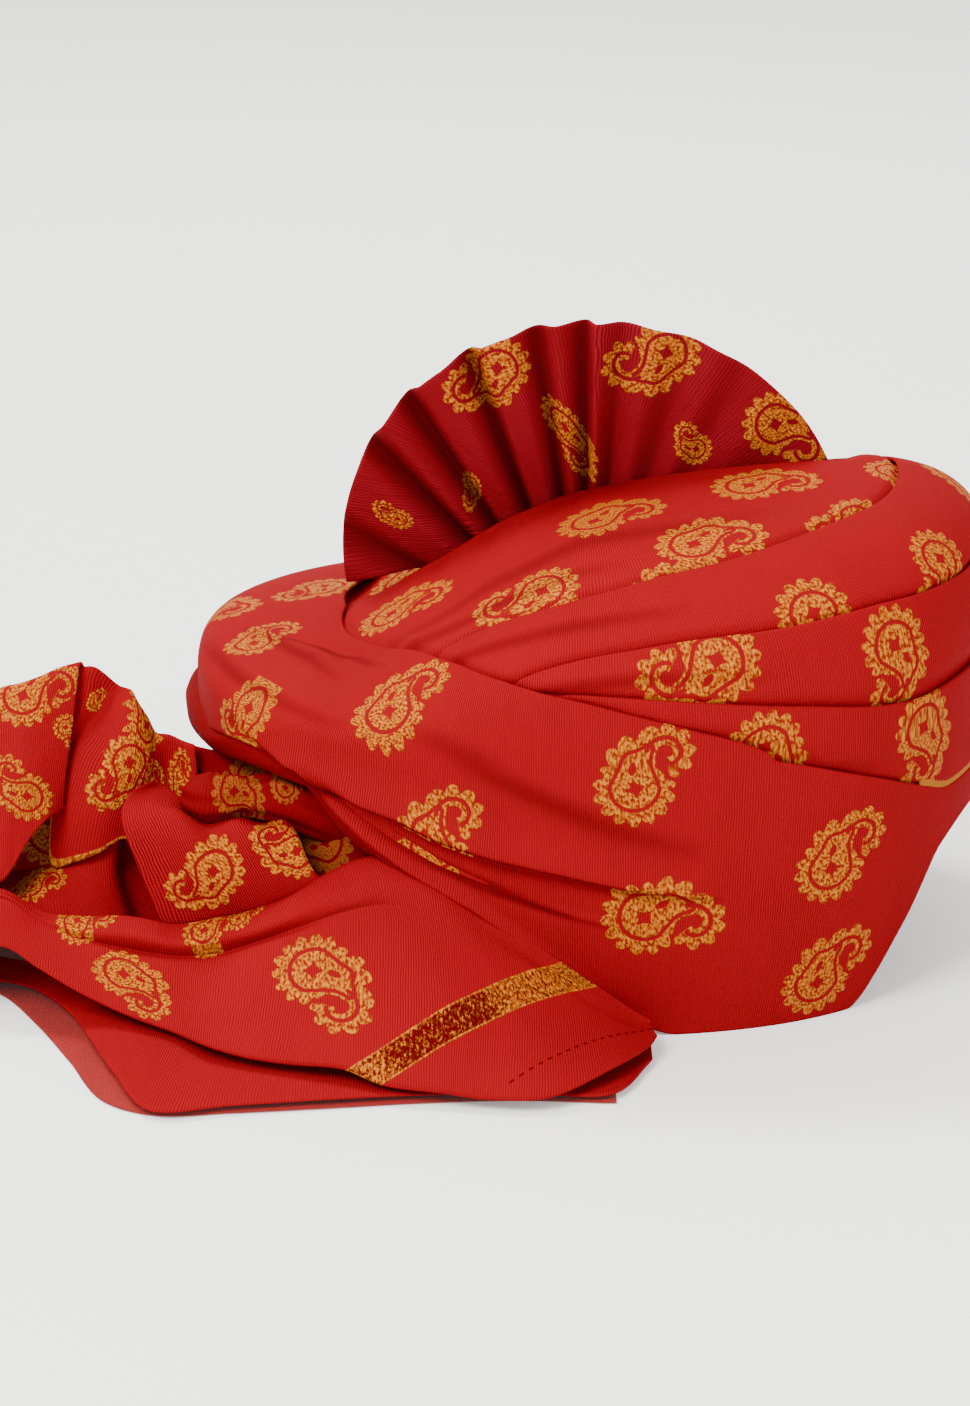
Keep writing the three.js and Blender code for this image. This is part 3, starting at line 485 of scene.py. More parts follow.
def woven_cloth(name, red=RED, deep=RED_DEEP, border=None, zari=None, hem=None, ribbing=0.5,
                gold=GOLD):
    """Ribbed red cloth with paisleys in gold thread. border is the span across the cloth, in
    metres, that is woven all in gold, zari and hem are the lines, in millimetres, of a gold band
    and of a row of stitches, and ribbing is how dark the furrows between the ribs are."""
    material = bpy.data.materials.new(name)
    material.use_nodes = True
    tree = material.node_tree
    shader = tree.nodes["Principled BSDF"]
    start = Thread(tree)

    def noise(scale, detail, **more):
        return start.make("ShaderNodeTexNoise",
                          values={"Vector": cloth, "Scale": scale, "Detail": detail, **more})

    cloth = start.make("ShaderNodeUVMap", {"uv_map": "cloth"})
    u, v = cloth.split()
    soft = noise(22, 3)
    stipple = noise(900, 2)
    ribs = (u + noise(140, 2) * RIB_WANDER).wave(RIB_PITCH)
    x, y = start.make("ShaderNodeUVMap", {"uv_map": "butti"}).split()
    woven = paisley(x * BUTTI_UNIT + BUTTI_MIDDLE[0], y * BUTTI_UNIT + BUTTI_MIDDLE[1])
    gilt = woven * (1 - stipple.step(0.56, 0.65) * 0.85)
    if border:
        edge = (v - border[0]).step(*EDGE_FADE) * (border[1] - v).step(*EDGE_FADE)
        gilt = gilt.most(edge * (1 - stipple.step(0.60, 0.70) * 0.6))

    groove = (ribs * 0.5 + 0.5) ** 1.6 * (soft.step(0.38, 0.62) * 0.45 + 0.55)
    furrow = tuple(part * (1 - ribbing) for part in red[:3]) + (1,)
    ground = groove.tint((soft.step(0.30, 0.72) * 0.7 + 0.3).tint(deep, red), furrow)
    gold_thread = stipple.step(0.35, 0.60).tint(gold, GOLD_DARK)
    color = gilt.tint(ground, gold_thread)
    if zari:
        run, aside = from_line(start, zari)
        inside = (ZARI_HALF - aside.size()).step(*EDGE_FADE)
        outline = (aside.size() - ZARI_RED).step(-0.0002, 0.0002)
        bare = run.step(*ZARI_BARE[:2]) * (1 - run.step(*ZARI_BARE[2:])) * 0.10
        band = (noise(800, 3, Roughness=0.7) - bare).step(0.40, 0.50).most(outline)
        gilt = gilt.most(inside * band)
        color = inside.tint(color, band.tint(ZARI_GROUND, gold_thread))
    if hem:
        run, aside = from_line(start, hem)
        dash = run.wave(STITCH_PITCH).step(-0.2, 0.2) * run.step(-0.001, 0.0)
        stitch = (STITCH_HALF - aside.size()).step(-0.0001, 0.0001) * dash
        color = (stitch * 0.8).tint(color, STITCH_RED)
    # Painted shade: each mesh's fold_shade darkens the colour in creases and under flaps.
    fold_shade = start.make("ShaderNodeAttribute", {"attribute_name": "fold_shade"}, output=2)
    color = (fold_shade * 0.8).tint(color, FOLD_PAINTED_SHADE)
    relief = (ribs * 0.00007 + v.wave(WEFT_PITCH) * 0.00002 + noise(1500, 1) * 0.00010
              + soft * 0.0012 + gilt * 0.00022 + stipple * gilt * 0.00025)
    bump = start.make("ShaderNodeBump", values={"Height": relief, "Strength": 0.9, "Distance": 1.0})
    varying = {"Base Color": color, "Roughness": gilt * -0.22 + 0.74, "Metallic": gilt * 0.1,
               "Normal": bump}
    for socket, thread in varying.items():
        tree.links.new(thread.socket, shader.inputs[socket])
    shader.inputs["Specular IOR Level"].default_value = 0.015
    return material


AROUND = np.arange(0, 360, 0.75)
CROWN_ROWS, CROWN_FOOT = 72, 0.16
FAN_CENTRE = (3, 9, 153.5)
SLIT_DROP, SLIT_ENDS, SLIT_SIDES = 7, (84, 106), (24, 64)
CROWN_BUTTIS = [
    # around, level, the tip's direction and the size
    (-154.3, 0.777, 34, 1), (-107.2, 0.645, -178, 1), (-77.6, 0.892, 17, 1), (-56.4, 0.729, 0, 1),
    (-18.3, 0.9, -47, 1), (-72.4, 0.552, 28, 1), (-3.7, 0.647, -60, 0.8), (-29.9, 0.653, 175, 0.9),
]
CROWN_FOLDS = [
    # line of (around, level), width, height
    ([(-150, 0.62), (-125, 0.78), (-95, 0.84), (-60, 0.84), (-35, 0.84)], 5, 1.2),
    ([(-160, 0.45), (-135, 0.63), (-105, 0.70), (-80, 0.72)], 4, 0.9),
]


def slit_drop(x, y):
    """How far the crown sinks behind the slit that holds the fan."""
    along = 1 - ease(np.abs(x - FAN_CENTRE[0]), *SLIT_ENDS)
    return np.where(y > 0, SLIT_DROP * along * (1 - ease(y, *SLIT_SIDES)) * ease(y, 0, 4), 0)


def crown_cloth():
    """The dome from just off its top down to the foot, outer face and inner one, with the small
    hole at the top closed."""
    samples = np.linspace(1, CROWN_FOOT, 1200)
    run = body_point(270.0, samples)
    length = np.concatenate([[0], np.cumsum(np.linalg.norm(np.diff(run, axis=0), axis=1))])
    levels = np.interp(np.linspace(0.6, length[-1], CROWN_ROWS), length, samples)
    azimuth, level = AROUND[:, None], levels[None, :]
    point = body_point(azimuth, level)
    _, _, out = body_frame(azimuth, level)
    depth = depth_under(azimuth, level, "crown") + slit_drop(point[..., 0], point[..., 1])
    lift, shade = sum(crease(azimuth, level, *fold) for fold in CROWN_FOLDS)
    outer = point - out * (depth - lift)[..., None]
    inner = point - out * (depth + CLOTH)[..., None]
    piece = wrapped_cloth("crown_cloth", np.concatenate([outer, inner[:, ::-1]], 1),
                          body_buttis(CROWN_BUTTIS), np.concatenate([shade, shade[:, ::-1]], 1),
                          closed=False)
    bpy.ops.object.select_all(action="DESELECT")
    bpy.context.view_layer.objects.active = piece
    piece.select_set(True)
    bpy.ops.object.mode_set(mode="EDIT")
    bpy.ops.mesh.select_all(action="DESELECT")
    bpy.ops.mesh.select_non_manifold()
    bpy.ops.mesh.edge_face_add()
    bpy.ops.mesh.select_all(action="DESELECT")
    bpy.ops.object.mode_set(mode="OBJECT")
    return piece


red_weave = woven_cloth("red_weave")
crown = crown_cloth()
crown.data.materials.append(red_weave)
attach(crown, "root")
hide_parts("crown")


# The three turns: strips of the same cloth wound round the head, each lying over the one before.
# Their upper edges are folded under and pulled tight, and their lower edges go under the next.
EDGE_ROUND = 0.9
TURN_ROWS = 42
TURN_SPECS = {
    # the lowest level it runs to, how far it stays above the rim, its flat size and its paisleys
    "turn_1": dict(lowest=-0.1, above_rim=0.16, flat=(0.70, 0.08),
                   buttis=[(-52.7, 0.311, -130, 1), (-27.1, 0.307, -135, 0.9),
                           (3, 0.42, 40, 1)]),
    "turn_2": dict(lowest=-0.35, above_rim=0.13, flat=(0.78, 0.065),
                   buttis=[(-71.8, 0.256, -169, 1.1), (-40.4, 0.116, -103, 1), (-8, 0.12, -95, 1)]),
    "turn_3": dict(lowest=-1, above_rim=0.08, flat=(0.80, 0.072),
                   buttis=[(-61.8, -0.001, -88, 1), (-34.8, -0.029, -86, 1), (-12, -0.10, -90, 1)]),
}
TURN_FOLDS = {
    # line of (around, level), width, height
    "turn_1": [([(-140, 0.40), (-120, 0.50), (-95, 0.50), (-70, 0.50)], 4, 0.8)],
    "turn_2": [([(-112, 0.22), (-98, 0.27), (-80, 0.27), (-60, 0.22)], 4, 0.8)],
    "turn_3": [([(-100, 0.14), (-85, 0.12), (-65, 0.05), (-40, -0.05)], 4, 0.8)],
}


def rows_down(top, bottom, rows):
    """Levels from a turn's upper edge to its lower one, closer together near the upper edge."""
    return top[:, None] + (bottom - top)[:, None] * np.linspace(0, 1, rows)[None, :] ** 1.15


def turn_profile(turn, top, bottom, folds, rows, hidden_rows=10):
    """Closed runs down the outer face, across the foot, up the inner face and over the folded
    upper edge, and the painted shade of the folds on them."""
    azimuth, edge = AROUND[:, None], top[:, None]
    level = rows_down(top, bottom, rows)
    _, _, out = body_frame(azimuth, level)
    lift, shade = sum(crease(azimuth, level, *fold) for fold in folds)
    outer = body_point(azimuth, level) - out * (
        depth_under(azimuth, level, turn) - lift)[..., None]
    back_share = np.linspace(1, 0, hidden_rows)[None, :]
    back = edge + (bottom - top)[:, None] * back_share
    _, _, back_out = body_frame(azimuth, back)
    thick = CLOTH + (2 * EDGE_ROUND - CLOTH) * ease(back_share, 0.12, 0.0)
    inner = body_point(azimuth, back) - back_out * (
        depth_under(azimuth, back, turn) + thick)[..., None]
    bend = np.radians([135, 90, 45])[None, :]
    _, lip_up, lip_out = body_frame(azimuth, edge)
    lip_depth = depth_under(azimuth, edge, turn) - sum(crease(azimuth, edge, *f) for f in folds)[0]
    lip = (body_point(azimuth, edge) - lip_out * (lip_depth + EDGE_ROUND)[..., None]
           + lip_out * (EDGE_ROUND * np.cos(bend))[..., None]
           + lip_up * (EDGE_ROUND * np.sin(bend))[..., None])
    shade = np.concatenate([shade, np.zeros((len(AROUND), hidden_rows + 3))], 1)
    return np.concatenate([outer, inner, lip], 1), shade


for turn_name, spec in TURN_SPECS.items():
    bottom = np.maximum(spec["lowest"], edge_level(AROUND, "rim") + spec["above_rim"])
    runs, shade = turn_profile(turn_name, edge_level(AROUND, turn_name), bottom,
                               TURN_FOLDS[turn_name], TURN_ROWS)
    turn = wrapped_cloth(turn_name + "_cloth", runs, body_buttis(spec["buttis"]), shade)
    turn.data.materials.append(red_weave)
    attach(turn, "root")
    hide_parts(turn_name)


# The outer band: the last and widest turn, from high on the back down to the brow at the front.
# Towards the back its lower part is pleated together, and its rim is a plain folded edge.
BAND_ROWS = 124
BAND_BUTTIS = [
    # around, level, the tip's direction and the size
    (-124.5, 0.332, 46, 1), (-81.6, -0.013, 52, 1.02), (-77.8, -0.535, -8, 1.1),
    (-48.7, -0.366, 44, 1), (-47.9, -0.81, 44, 1), (-115.2, -0.246, 62, 1),
    (-150.8, 0.023, -144, 0.85), (-167.2, 0.457, 121, 0.8), (172, 0.2, 60, 1),
    (166, 0.60, -30, 0.9), (-100, 0.44, 200, 0.9),
]
BAND_FOLDS = [
    # line of (around, level), width, height, and whether it is a flap
    ([(-154, 0.01), (-146, -0.039), (-135, -0.131), (-128, -0.169), (-121.5, -0.199),
      (-116, -0.250), (-107, -0.308), (-95.5, -0.36), (-83.5, -0.421), (-68, -0.47)], 4.6, 4.4, True),
    ([(-142, -0.06), (-134, -0.165), (-127.5, -0.281), (-120.5, -0.38), (-110.5, -0.496),
      (-101, -0.639), (-86, -0.86)], 2.6, 2.8),
    ([(-140, -0.08), (-133, -0.135), (-130.5, -0.165), (-123.5, -0.271), (-115.5, -0.36),
      (-105.5, -0.445), (-93, -0.54)], 2.4, -2.6),
    ([(-128, -0.22), (-119, -0.33), (-108, -0.43), (-97, -0.50), (-84, -0.57)], 1.8, 1.2),
    ([(-112, -0.55), (-104, -0.68), (-95, -0.80), (-84, -0.92)], 1.6, -1.2),
    ([(-120, 0.20), (-105, 0.02), (-88, -0.14), (-70, -0.26)], 7, 0.9),
    ([(-168, 0.50), (-158, 0.60), (-146, 0.62), (-134, 0.56)], 3.0, -1.3),
    ([(-176, 0.42), (-165, 0.52), (-152, 0.55), (-140, 0.50)], 4.0, 1.4),
    ([(-179, 0.20), (-165, 0.30), (-148, 0.30), (-130, 0.22)], 8, 1.2),
]


def tucked_under(azimuth, level, line):
    """Where the cloth has gone in under a flap's edge, on the near side."""
    around = around_front(azimuth)
    edge = smooth(line, around)
    return (around > line[0][0]) & (around < line[-1][0]) & (level < edge) & (level > edge - 0.2)


band_top, band_rim = edge_level(AROUND, "band"), edge_level(AROUND, "rim")
band_runs, band_shade = turn_profile("band", band_top, band_rim, BAND_FOLDS, BAND_ROWS, 12)
band_hidden = np.zeros(band_shade.shape, bool)
band_hidden[:, :BAND_ROWS] = tucked_under(
    AROUND[:, None], rows_down(band_top, band_rim, BAND_ROWS), BAND_FOLDS[0][0][3:8])
band = wrapped_cloth("outer_band_cloth", band_runs, body_buttis(BAND_BUTTIS), band_shade,
                     band_hidden)
band.data.materials.append(red_weave)
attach(band, "root")
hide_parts("outer_band")


# The gold border at the front: the woven edge of the last turn, left showing over the outer band.
# It is the same cloth's border in close gold thread, tucked down behind the band's fold.
EDGE_THINNED = 0.45


def laid_cloth(name, grid, thick, buttis=None, shade=None):
    """A closed thin sheet round a grid of points (columns, rows), thinner at its edges."""
    columns, rows = grid.shape[:2]
    out = unit(np.cross(np.gradient(grid, axis=0), np.gradient(grid, axis=1)))
    body = np.full((columns, rows), 1.0)
    body[[0, -1], :] *= EDGE_THINNED
    body[:, [0, -1]] *= EDGE_THINNED
    half = (out * body[..., None]) * thick / 2
    vertices = np.concatenate([(grid + half).reshape(-1, 3), (grid - half).reshape(-1, 3)])
    faces, _, _ = grid_faces(columns, rows, False, False)
    along, across = cloth_lengths(grid, False)
    under = columns * rows
    uv = np.stack(np.broadcast_arrays(along[:, None], across[None, :]), -1).reshape(-1, 2) / 1000
    back = faces[:, ::-1] + under
    rim = np.concatenate([
        np.arange(columns) * rows,
        (columns - 1) * rows + np.arange(1, rows),
        np.arange(columns - 2, -1, -1) * rows + rows - 1,
        np.arange(rows - 2, 0, -1),
    ])
    following = np.roll(rim, -1)
    side = np.stack([rim, following, following + under, rim + under], -1)
    every = np.concatenate([faces, back, side])
    if shade is not None:
        shade = np.tile(np.broadcast_to(shade, (columns, rows)).reshape(-1), 2)
    return weave_mesh(name, vertices, every, uv[every % under], buttis, shade)


BORDER_END = 35
BORDER_HEIGHT = [(0, 0.12), (22, 0.10), (36, 0.03)]
gold_weave = woven_cloth("gold_weave", red=(0.36, 0.13, 0.015, 1), deep=(0.24, 0.06, 0.008, 1))
border_around = np.linspace(-BORDER_END, BORDER_END, 120)[:, None]
border_share = np.linspace(0, 1, 12)[None, :]
border_foot = edge_level(border_around, "band") - 0.02
border_top = border_foot + 0.026 + smooth(BORDER_HEIGHT, np.abs(border_around))
border_level = border_top + (border_foot - border_top) * border_share
_, _, border_out = body_frame(border_around, border_level)
border_grid = body_point(border_around, border_level) - border_out * (
    0.9 + 1.0 * ease(border_share, 0.75, 1))[..., None]
border = laid_cloth("front_border_cloth", border_grid, 1.0)
border.data.materials.append(gold_weave)
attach(border, "root")
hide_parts("front_border")


# The wound core: the hidden turns round the head hollow, one over another like a firm bandage.
# They show from below and under the raised back, as turns that lie on each other; their darker red
# there is painted shade.
CORE_DEPTH, CORE_WALL, CORE_TOP_WALL, CORE_TOP = 12.8, 31, 8, 0.55
CORE_TURN, CORE_FURROW = 9.0, 1.6
ROLL_RADIUS = 8
# Round from the front, then how far the roll lies inside the rim, above it, and clear of the core.
ROLL_INSIDE = [(0, 15), (100, 15), (130, 11), (158, 7.5), (172, 3), (180, 2)]
ROLL_ABOVE = [(0, 8.6), (100, 8.6), (130, -1), (158, -4.5), (172, -1), (180, 0)]
ROLL_BELOW = [(0, 0.5), (100, 0.5), (130, 5.5), (180, 5.5)]
# Painted shade: the same cloth in a darker red, with darker gold, for the hidden turns, the rolled
# rim, the gather and the cloth under the rim, which lie in shade.
painted_shade_weave = woven_cloth("painted_shade_weave", red=(0.135, 0.0012, 0.0028, 1), ribbing=0.3,
                         deep=(0.105, 0.0009, 0.0022, 1), gold=(0.17, 0.045, 0.007, 1))


def core_profile(rows=70):
    """Closed runs down the core's outer face and up the inner one, round which the turns lie."""
    azimuth = np.arange(0, 360, 1.5)
    away = from_front(azimuth)
    highest = np.max([edge_level(azimuth + aside, "rim") for aside in (-7, 0, 7)], axis=0)
    foot = highest + (smooth(ROLL_ABOVE, away) + ROLL_RADIUS + smooth(ROLL_BELOW, away)
                      ) / WIDEST_HEIGHT
    share = np.linspace(0, 1, rows)[None, :]
    level = CORE_TOP + (foot[:, None] - CORE_TOP) * share
    point = body_point(azimuth[:, None], level)
    _, _, out = body_frame(azimuth[:, None], level)
    wall = CORE_WALL + (CORE_TOP_WALL - CORE_WALL) * ease(level, 0, CORE_TOP)
    drop = (CORE_TOP - level) * WIDEST_HEIGHT + azimuth[:, None] / 360 * CORE_TURN
    bulge = np.abs(np.sin(np.pi * drop / CORE_TURN)) ** 0.6
    edge_fade = ease(share, 0, 0.03) * ease(1 - share, 0, 0.03)
    outer = point - out * CORE_DEPTH
    inner = point - out * (CORE_DEPTH + wall - CORE_FURROW * (1 - bulge) * edge_fade)[..., None]
    return np.concatenate([outer[:, ::4], inner[:, ::-1]], 1)


core = wrapped_cloth("wound_core_cloth", core_profile(), None)
core.data.materials.append(painted_shade_weave)
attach(core, "root")
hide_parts("wound_core")


# The rolled rim: the lower edge of the hidden turns, rolled outward into a soft rope.
# It lies just inside the outer band, and hangs below it at the raised back in two lobes.
def tube_runs(centres, radii, sides, ring):
    """Rings of points round a run of centres, which closes on itself where ring is true."""
    along = unit(np.roll(centres, -1, 0) - np.roll(centres, 1, 0) if ring
                 else np.gradient(centres, axis=0))
    across = unit(np.cross(np.array([0, 0, 1.0]), along))
    up = np.cross(along, across)
    turn = np.linspace(0, 2 * np.pi, sides, endpoint=False)
    return (centres[:, None] + radii[..., None] * (
        across[:, None] * np.cos(turn)[None, :, None] + up[:, None] * np.sin(turn)[None, :, None]))


ROLL_SIDES = 28
roll_around = np.arange(0, 360, 1.0)
roll_away = from_front(roll_around)
roll_level = edge_level(roll_around, "rim")
_, _, roll_out = body_frame(roll_around, roll_level)
roll_out = unit(roll_out * np.array([1, 1, 0]))
roll_inside = smooth(ROLL_INSIDE, roll_away)[:, None]
roll_centres = body_point(roll_around, roll_level) - roll_out * roll_inside
roll_centres[:, 2] += smooth(ROLL_ABOVE, roll_away)
roll_turn = np.linspace(0, 2 * np.pi, ROLL_SIDES, endpoint=False)[None, :]
roll_twist = roll_turn + np.radians(roll_around)[:, None] * 3
roll_radii = ROLL_RADIUS * (1 - 0.10 * np.abs(np.sin(roll_twist)) ** 6
                            - 0.07 * np.abs(np.sin(roll_twist * 1.5 + 1)) ** 8)
roll_runs = tube_runs(roll_centres, roll_radii, ROLL_SIDES, True)
roll = wrapped_cloth("rim_roll_cloth", roll_runs, None)
# The roll is the darker red of the painted shade.
roll.data.materials.append(painted_shade_weave)
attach(roll, "root")
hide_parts("rim_roll")


# The turra: the starched end of the cloth, pleated into a fan that stands in the crown's slit.
# The pleats run together towards the slit, and the fan's curved edge is the cloth's own selvedge.
FAN_WIDTH, FAN_HEIGHT = 97, 88
FAN_START, FAN_END = 20, 190
FAN_PIVOT, FAN_FOOT_GAP = (2, 104), 0.6
FAN_PLEATS = [
    # angle round the pivot, then how far the cloth stands out towards the near side
    (20, 0), (34, 0.5), (42, 1.6), (50, 0.2), (58, 2.2), (64, 0.6), (69, 2.6), (74, -0.6),
    (80, 3.0), (85, -1.2), (89.5, 3.8), (91.0, -2.8), (96, 2.6), (99, -3.0), (104, 3.6),
    (108, 3.4), (110.5, -3.8), (116, 4.2), (120, 3.4), (123, -4.2), (129, 4.0), (133, -3.6),
    (139, 3.6), (145, 3.0), (150, -2.0), (158, 1.6), (168, 0), (190, 0),
]
FAN_BUTTIS = [
    # x and height on the fan, the tip's direction, the size and the width
    (-38.3, 221.0, 215, 0.86, 1), (24.5, 227.4, 200, 0.92, 1), (-6.1, 195.9, 275, 0.95, 0.42),
    (76.5, 198.5, 320, 0.9, 1), (40.1, 194.1, 120, 0.45, 1), (-44.2, 174.9, 250, 0.42, 0.6),
    (-74.7, 166.3, 130, 0.45, 0.6),
]


def crown_height(x, y):
    """How high the crown's cloth lies at a place, in millimetres."""
    start = ((x + SHIFT[0]) / 1000, (y + SHIFT[1]) / 1000, 0.3)
    hit, place, _, _ = crown.ray_cast(start, (0, 0, -1))
    return place[2] * 1000 if hit else WIDEST_HEIGHT


def fan_grid(columns=420, rows=70):
    """The fan from the crown to its curved edge, and the painted shade in its pleats and at its foot.
    """
    angle = np.radians(np.linspace(FAN_START, FAN_END, columns))
    reach_x, reach_z = FAN_WIDTH * np.cos(angle), FAN_HEIGHT * np.sin(angle)
    grid = np.full((columns, rows, 3), float(FAN_CENTRE[1]))
    share = np.linspace(0, 1, 60)
    for k in range(columns):
        x, z = FAN_CENTRE[0] + reach_x[k] * share, FAN_CENTRE[2] + reach_z[k] * share
        ground = [crown_height(place, FAN_CENTRE[1]) for place in x[::3]]
        covered = np.where(z <= np.interp(share, share[::3], ground) + FAN_FOOT_GAP)[0]
        first = share[covered[-1] + 1] if len(covered) and covered[-1] < 59 else 0.02
        reach = np.linspace(first, 1, rows)
        grid[k, :, 0] = FAN_CENTRE[0] + reach_x[k] * reach
        grid[k, :, 2] = FAN_CENTRE[2] + reach_z[k] * reach
    away_x, away_z = grid[..., 0] - FAN_PIVOT[0], grid[..., 2] - FAN_PIVOT[1]
    pivot_angle, reach = np.degrees(np.arctan2(away_z, away_x)), np.hypot(away_z, away_x)
    pleat = smooth(FAN_PLEATS, pivot_angle)
    grid[..., 1] -= pleat * (1.15 + 0.001 * reach)
    left_side = ease(pivot_angle, 76, 100)
    foot = np.exp(-np.clip(reach - 38, 0, None) / 26)
    # Painted shade: darker in the pleats' valleys, more so on the left, and towards the foot at the
    # crown.
    return grid, np.clip((0.6 - pleat) / 4.5, 0, 0.9) * (0.25 + 0.65 * left_side) + 0.30 * foot


def facing_buttis(rows, y):
    """Paisleys that face the near side at rows of (x, height, tip, size, width)."""
    x, z, tips, sizes, widths = np.array(rows, float).T
    right, up = (np.tile(axis, (len(x), 1)) for axis in ([1.0, 0, 0], [0, 0, 1.0]))
    return butti_frames(np.stack([x, np.full_like(x, y), z], -1), right, up, tips, sizes, widths)


fan_points, fan_shade = fan_grid()
fan_buttis = facing_buttis(FAN_BUTTIS, FAN_CENTRE[1])
fan = laid_cloth("turra_fan_cloth", fan_points, 1.0, fan_buttis, fan_shade)
# The fan is a darker copy of the red, painted shade over the whole fan.
fan.data.materials.append(woven_cloth(
    "fan_shaded_weave", red=(0.175, 0.0042, 0.0090, 1), deep=(0.125, 0.0018, 0.0040, 1)))
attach(fan, "root")
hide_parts("turra_fan")


# The gather: the cloth's tail drawn together where it leaves the turban under its raised back.
# It is a soft bundle of many folds, in a darker red that is painted shade, as it lies in the shade of
# the band.
GATHER_RINGS, GATHER_SIDES = 90, 64
GATHER = [
    # centre, then radius
    ((-64, -74, 58), 7), ((-80, -77, 66), 9), ((-98, -76, 74.5), 10.5), ((-113, -72, 79), 11),
    ((-128, -70, 79), 8.2), ((-142, -70, 78), 11), ((-151, -64, 79), 8.5),
]


def sway(points, count):
    """Points spaced along smooth curves through points (sections, curves, 3), with each curve's
    speed set by how far apart its own points are, so that close points make no loop."""
    points = np.asarray(points, float)
    last = len(points) - 1
    place = np.linspace(0, 1, count) * last
    i = np.minimum(place.astype(int), last - 1)
    w = (place - i)[:, None, None]
    whole = np.concatenate([2 * points[:1] - points[1:2], points,
                            2 * points[-1:] - points[-2:-1]])
    p0, p1, p2, p3 = (whole[i + k] for k in range(4))
    gaps = [np.maximum(((b - a) ** 2).sum(-1, keepdims=True) ** 0.25, 1e-4)
            for a, b in ((p0, p1), (p1, p2), (p2, p3))]
    d0, d1, d2 = gaps
    m1 = ((p1 - p0) / d0 - (p2 - p0) / (d0 + d1) + (p2 - p1) / d1) * d1
    m2 = ((p2 - p1) / d1 - (p3 - p1) / (d1 + d2) + (p3 - p2) / d2) * d1
    return (p1 + m1 * w + (-3 * p1 + 3 * p2 - 2 * m1 - m2) * w ** 2
            + (2 * p1 - 2 * p2 + m1 + m2) * w ** 3)


gather_centres = sway([[centre] for centre, _ in GATHER], GATHER_RINGS)[:, 0]
gather_radii = np.interp(np.linspace(0, len(GATHER) - 1, GATHER_RINGS), range(len(GATHER)),
                         [radius for _, radius in GATHER])[:, None]
gather_turn = np.linspace(0, 2 * np.pi, GATHER_SIDES, endpoint=False)[None, :]
gather_twist = np.linspace(0, 1, GATHER_RINGS)[:, None]
gather_folds = (0.06 * np.sin(gather_turn * 7 + 3 * gather_twist)
                + 0.04 * np.sin(gather_turn * 11 - 5 * gather_twist))
gather_ends = np.sqrt(np.clip(1 - (2 * gather_twist - 1) ** 10, 0.02, 1))
gather_runs = tube_runs(gather_centres, gather_radii * (0.95 + 0.6 * gather_folds) * gather_ends,
                        GATHER_SIDES, False)


def closed_tube(name, runs, buttis):
    """A tube of rings of points with a flat cap at each end."""
    columns, rows = runs.shape[:2]
    faces, i, j = grid_faces(columns, rows, False, True)
    along, across = cloth_lengths(runs, False)
    cloth = cloth_corners(along, np.append(across, across[-1] + across[1]), i, j)
    pairs = np.arange(0, rows, 2)
    middle, base = columns * rows, (columns - 1) * rows
    first = np.stack([np.full(len(pairs), middle), (pairs + 2) % rows, pairs + 1, pairs], -1)
    last = np.stack([np.full(len(pairs), middle + 1), base + pairs, base + pairs + 1,
                     base + (pairs + 2) % rows], -1)
    vertices = np.concatenate([runs.reshape(-1, 3), [runs[0].mean(0), runs[-1].mean(0)]])
    caps = np.zeros((len(first) + len(last), 4, 2))
    return weave_mesh(name, vertices, np.concatenate([faces, first, last]),
                      np.concatenate([cloth, caps]), buttis)


GATHER_FACE = -80
GATHER_BUTTIS = [(-130, 81, 300, 0.6, 1), (-111, 88, 30, 0.4, 1)]
gather = closed_tube("tail_gather_cloth", gather_runs, facing_buttis(GATHER_BUTTIS, GATHER_FACE))
gather.data.materials.append(painted_shade_weave)
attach(gather, "root")
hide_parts("tail_gather")


# The tail's arched loop and folds: the loose end of the cloth, folded over itself beside the back.
# The same ribbed cloth, limp here, so that it stands in arches and soft rolls on the table.
# Each row of points runs down the cloth, and the rows follow each other to the right.
TAIL_LOOP = [
    # near edge, lower face, face, top, far face and far foot
    [(-288, -58, 16), (-288, -58, 26), (-288, -56, 38), (-284, -45, 62), (-286, -30, 34),
     (-288, -24, 4)],
    [(-255, -74, 36), (-255, -71, 50), (-255, -66, 70), (-253, -47, 98), (-254, -24, 62),
     (-256, -12, 4)],
    [(-220, -80, 49), (-220, -76, 60), (-221, -66, 84), (-222, -46, 113), (-221, -21, 72),
     (-222, -9, 4)],
    [(-215, -78, 55), (-215, -74, 65), (-214, -64, 90), (-214, -46, 115), (-214, -20, 73),
     (-214, -8, 4)],
    [(-210, -74, 63), (-210, -70, 73), (-208, -61, 95), (-206, -46, 118), (-206, -20, 74),
     (-206, -8, 4)],
    [(-204, -69, 69), (-204, -65, 78), (-201, -57, 99), (-199, -45, 121), (-198, -20, 76),
     (-196, -8, 4)],
    [(-198, -61, 71), (-197, -59, 82), (-194, -53, 102), (-191, -44, 123), (-188, -21, 80),
     (-184, -10, 4)],
]
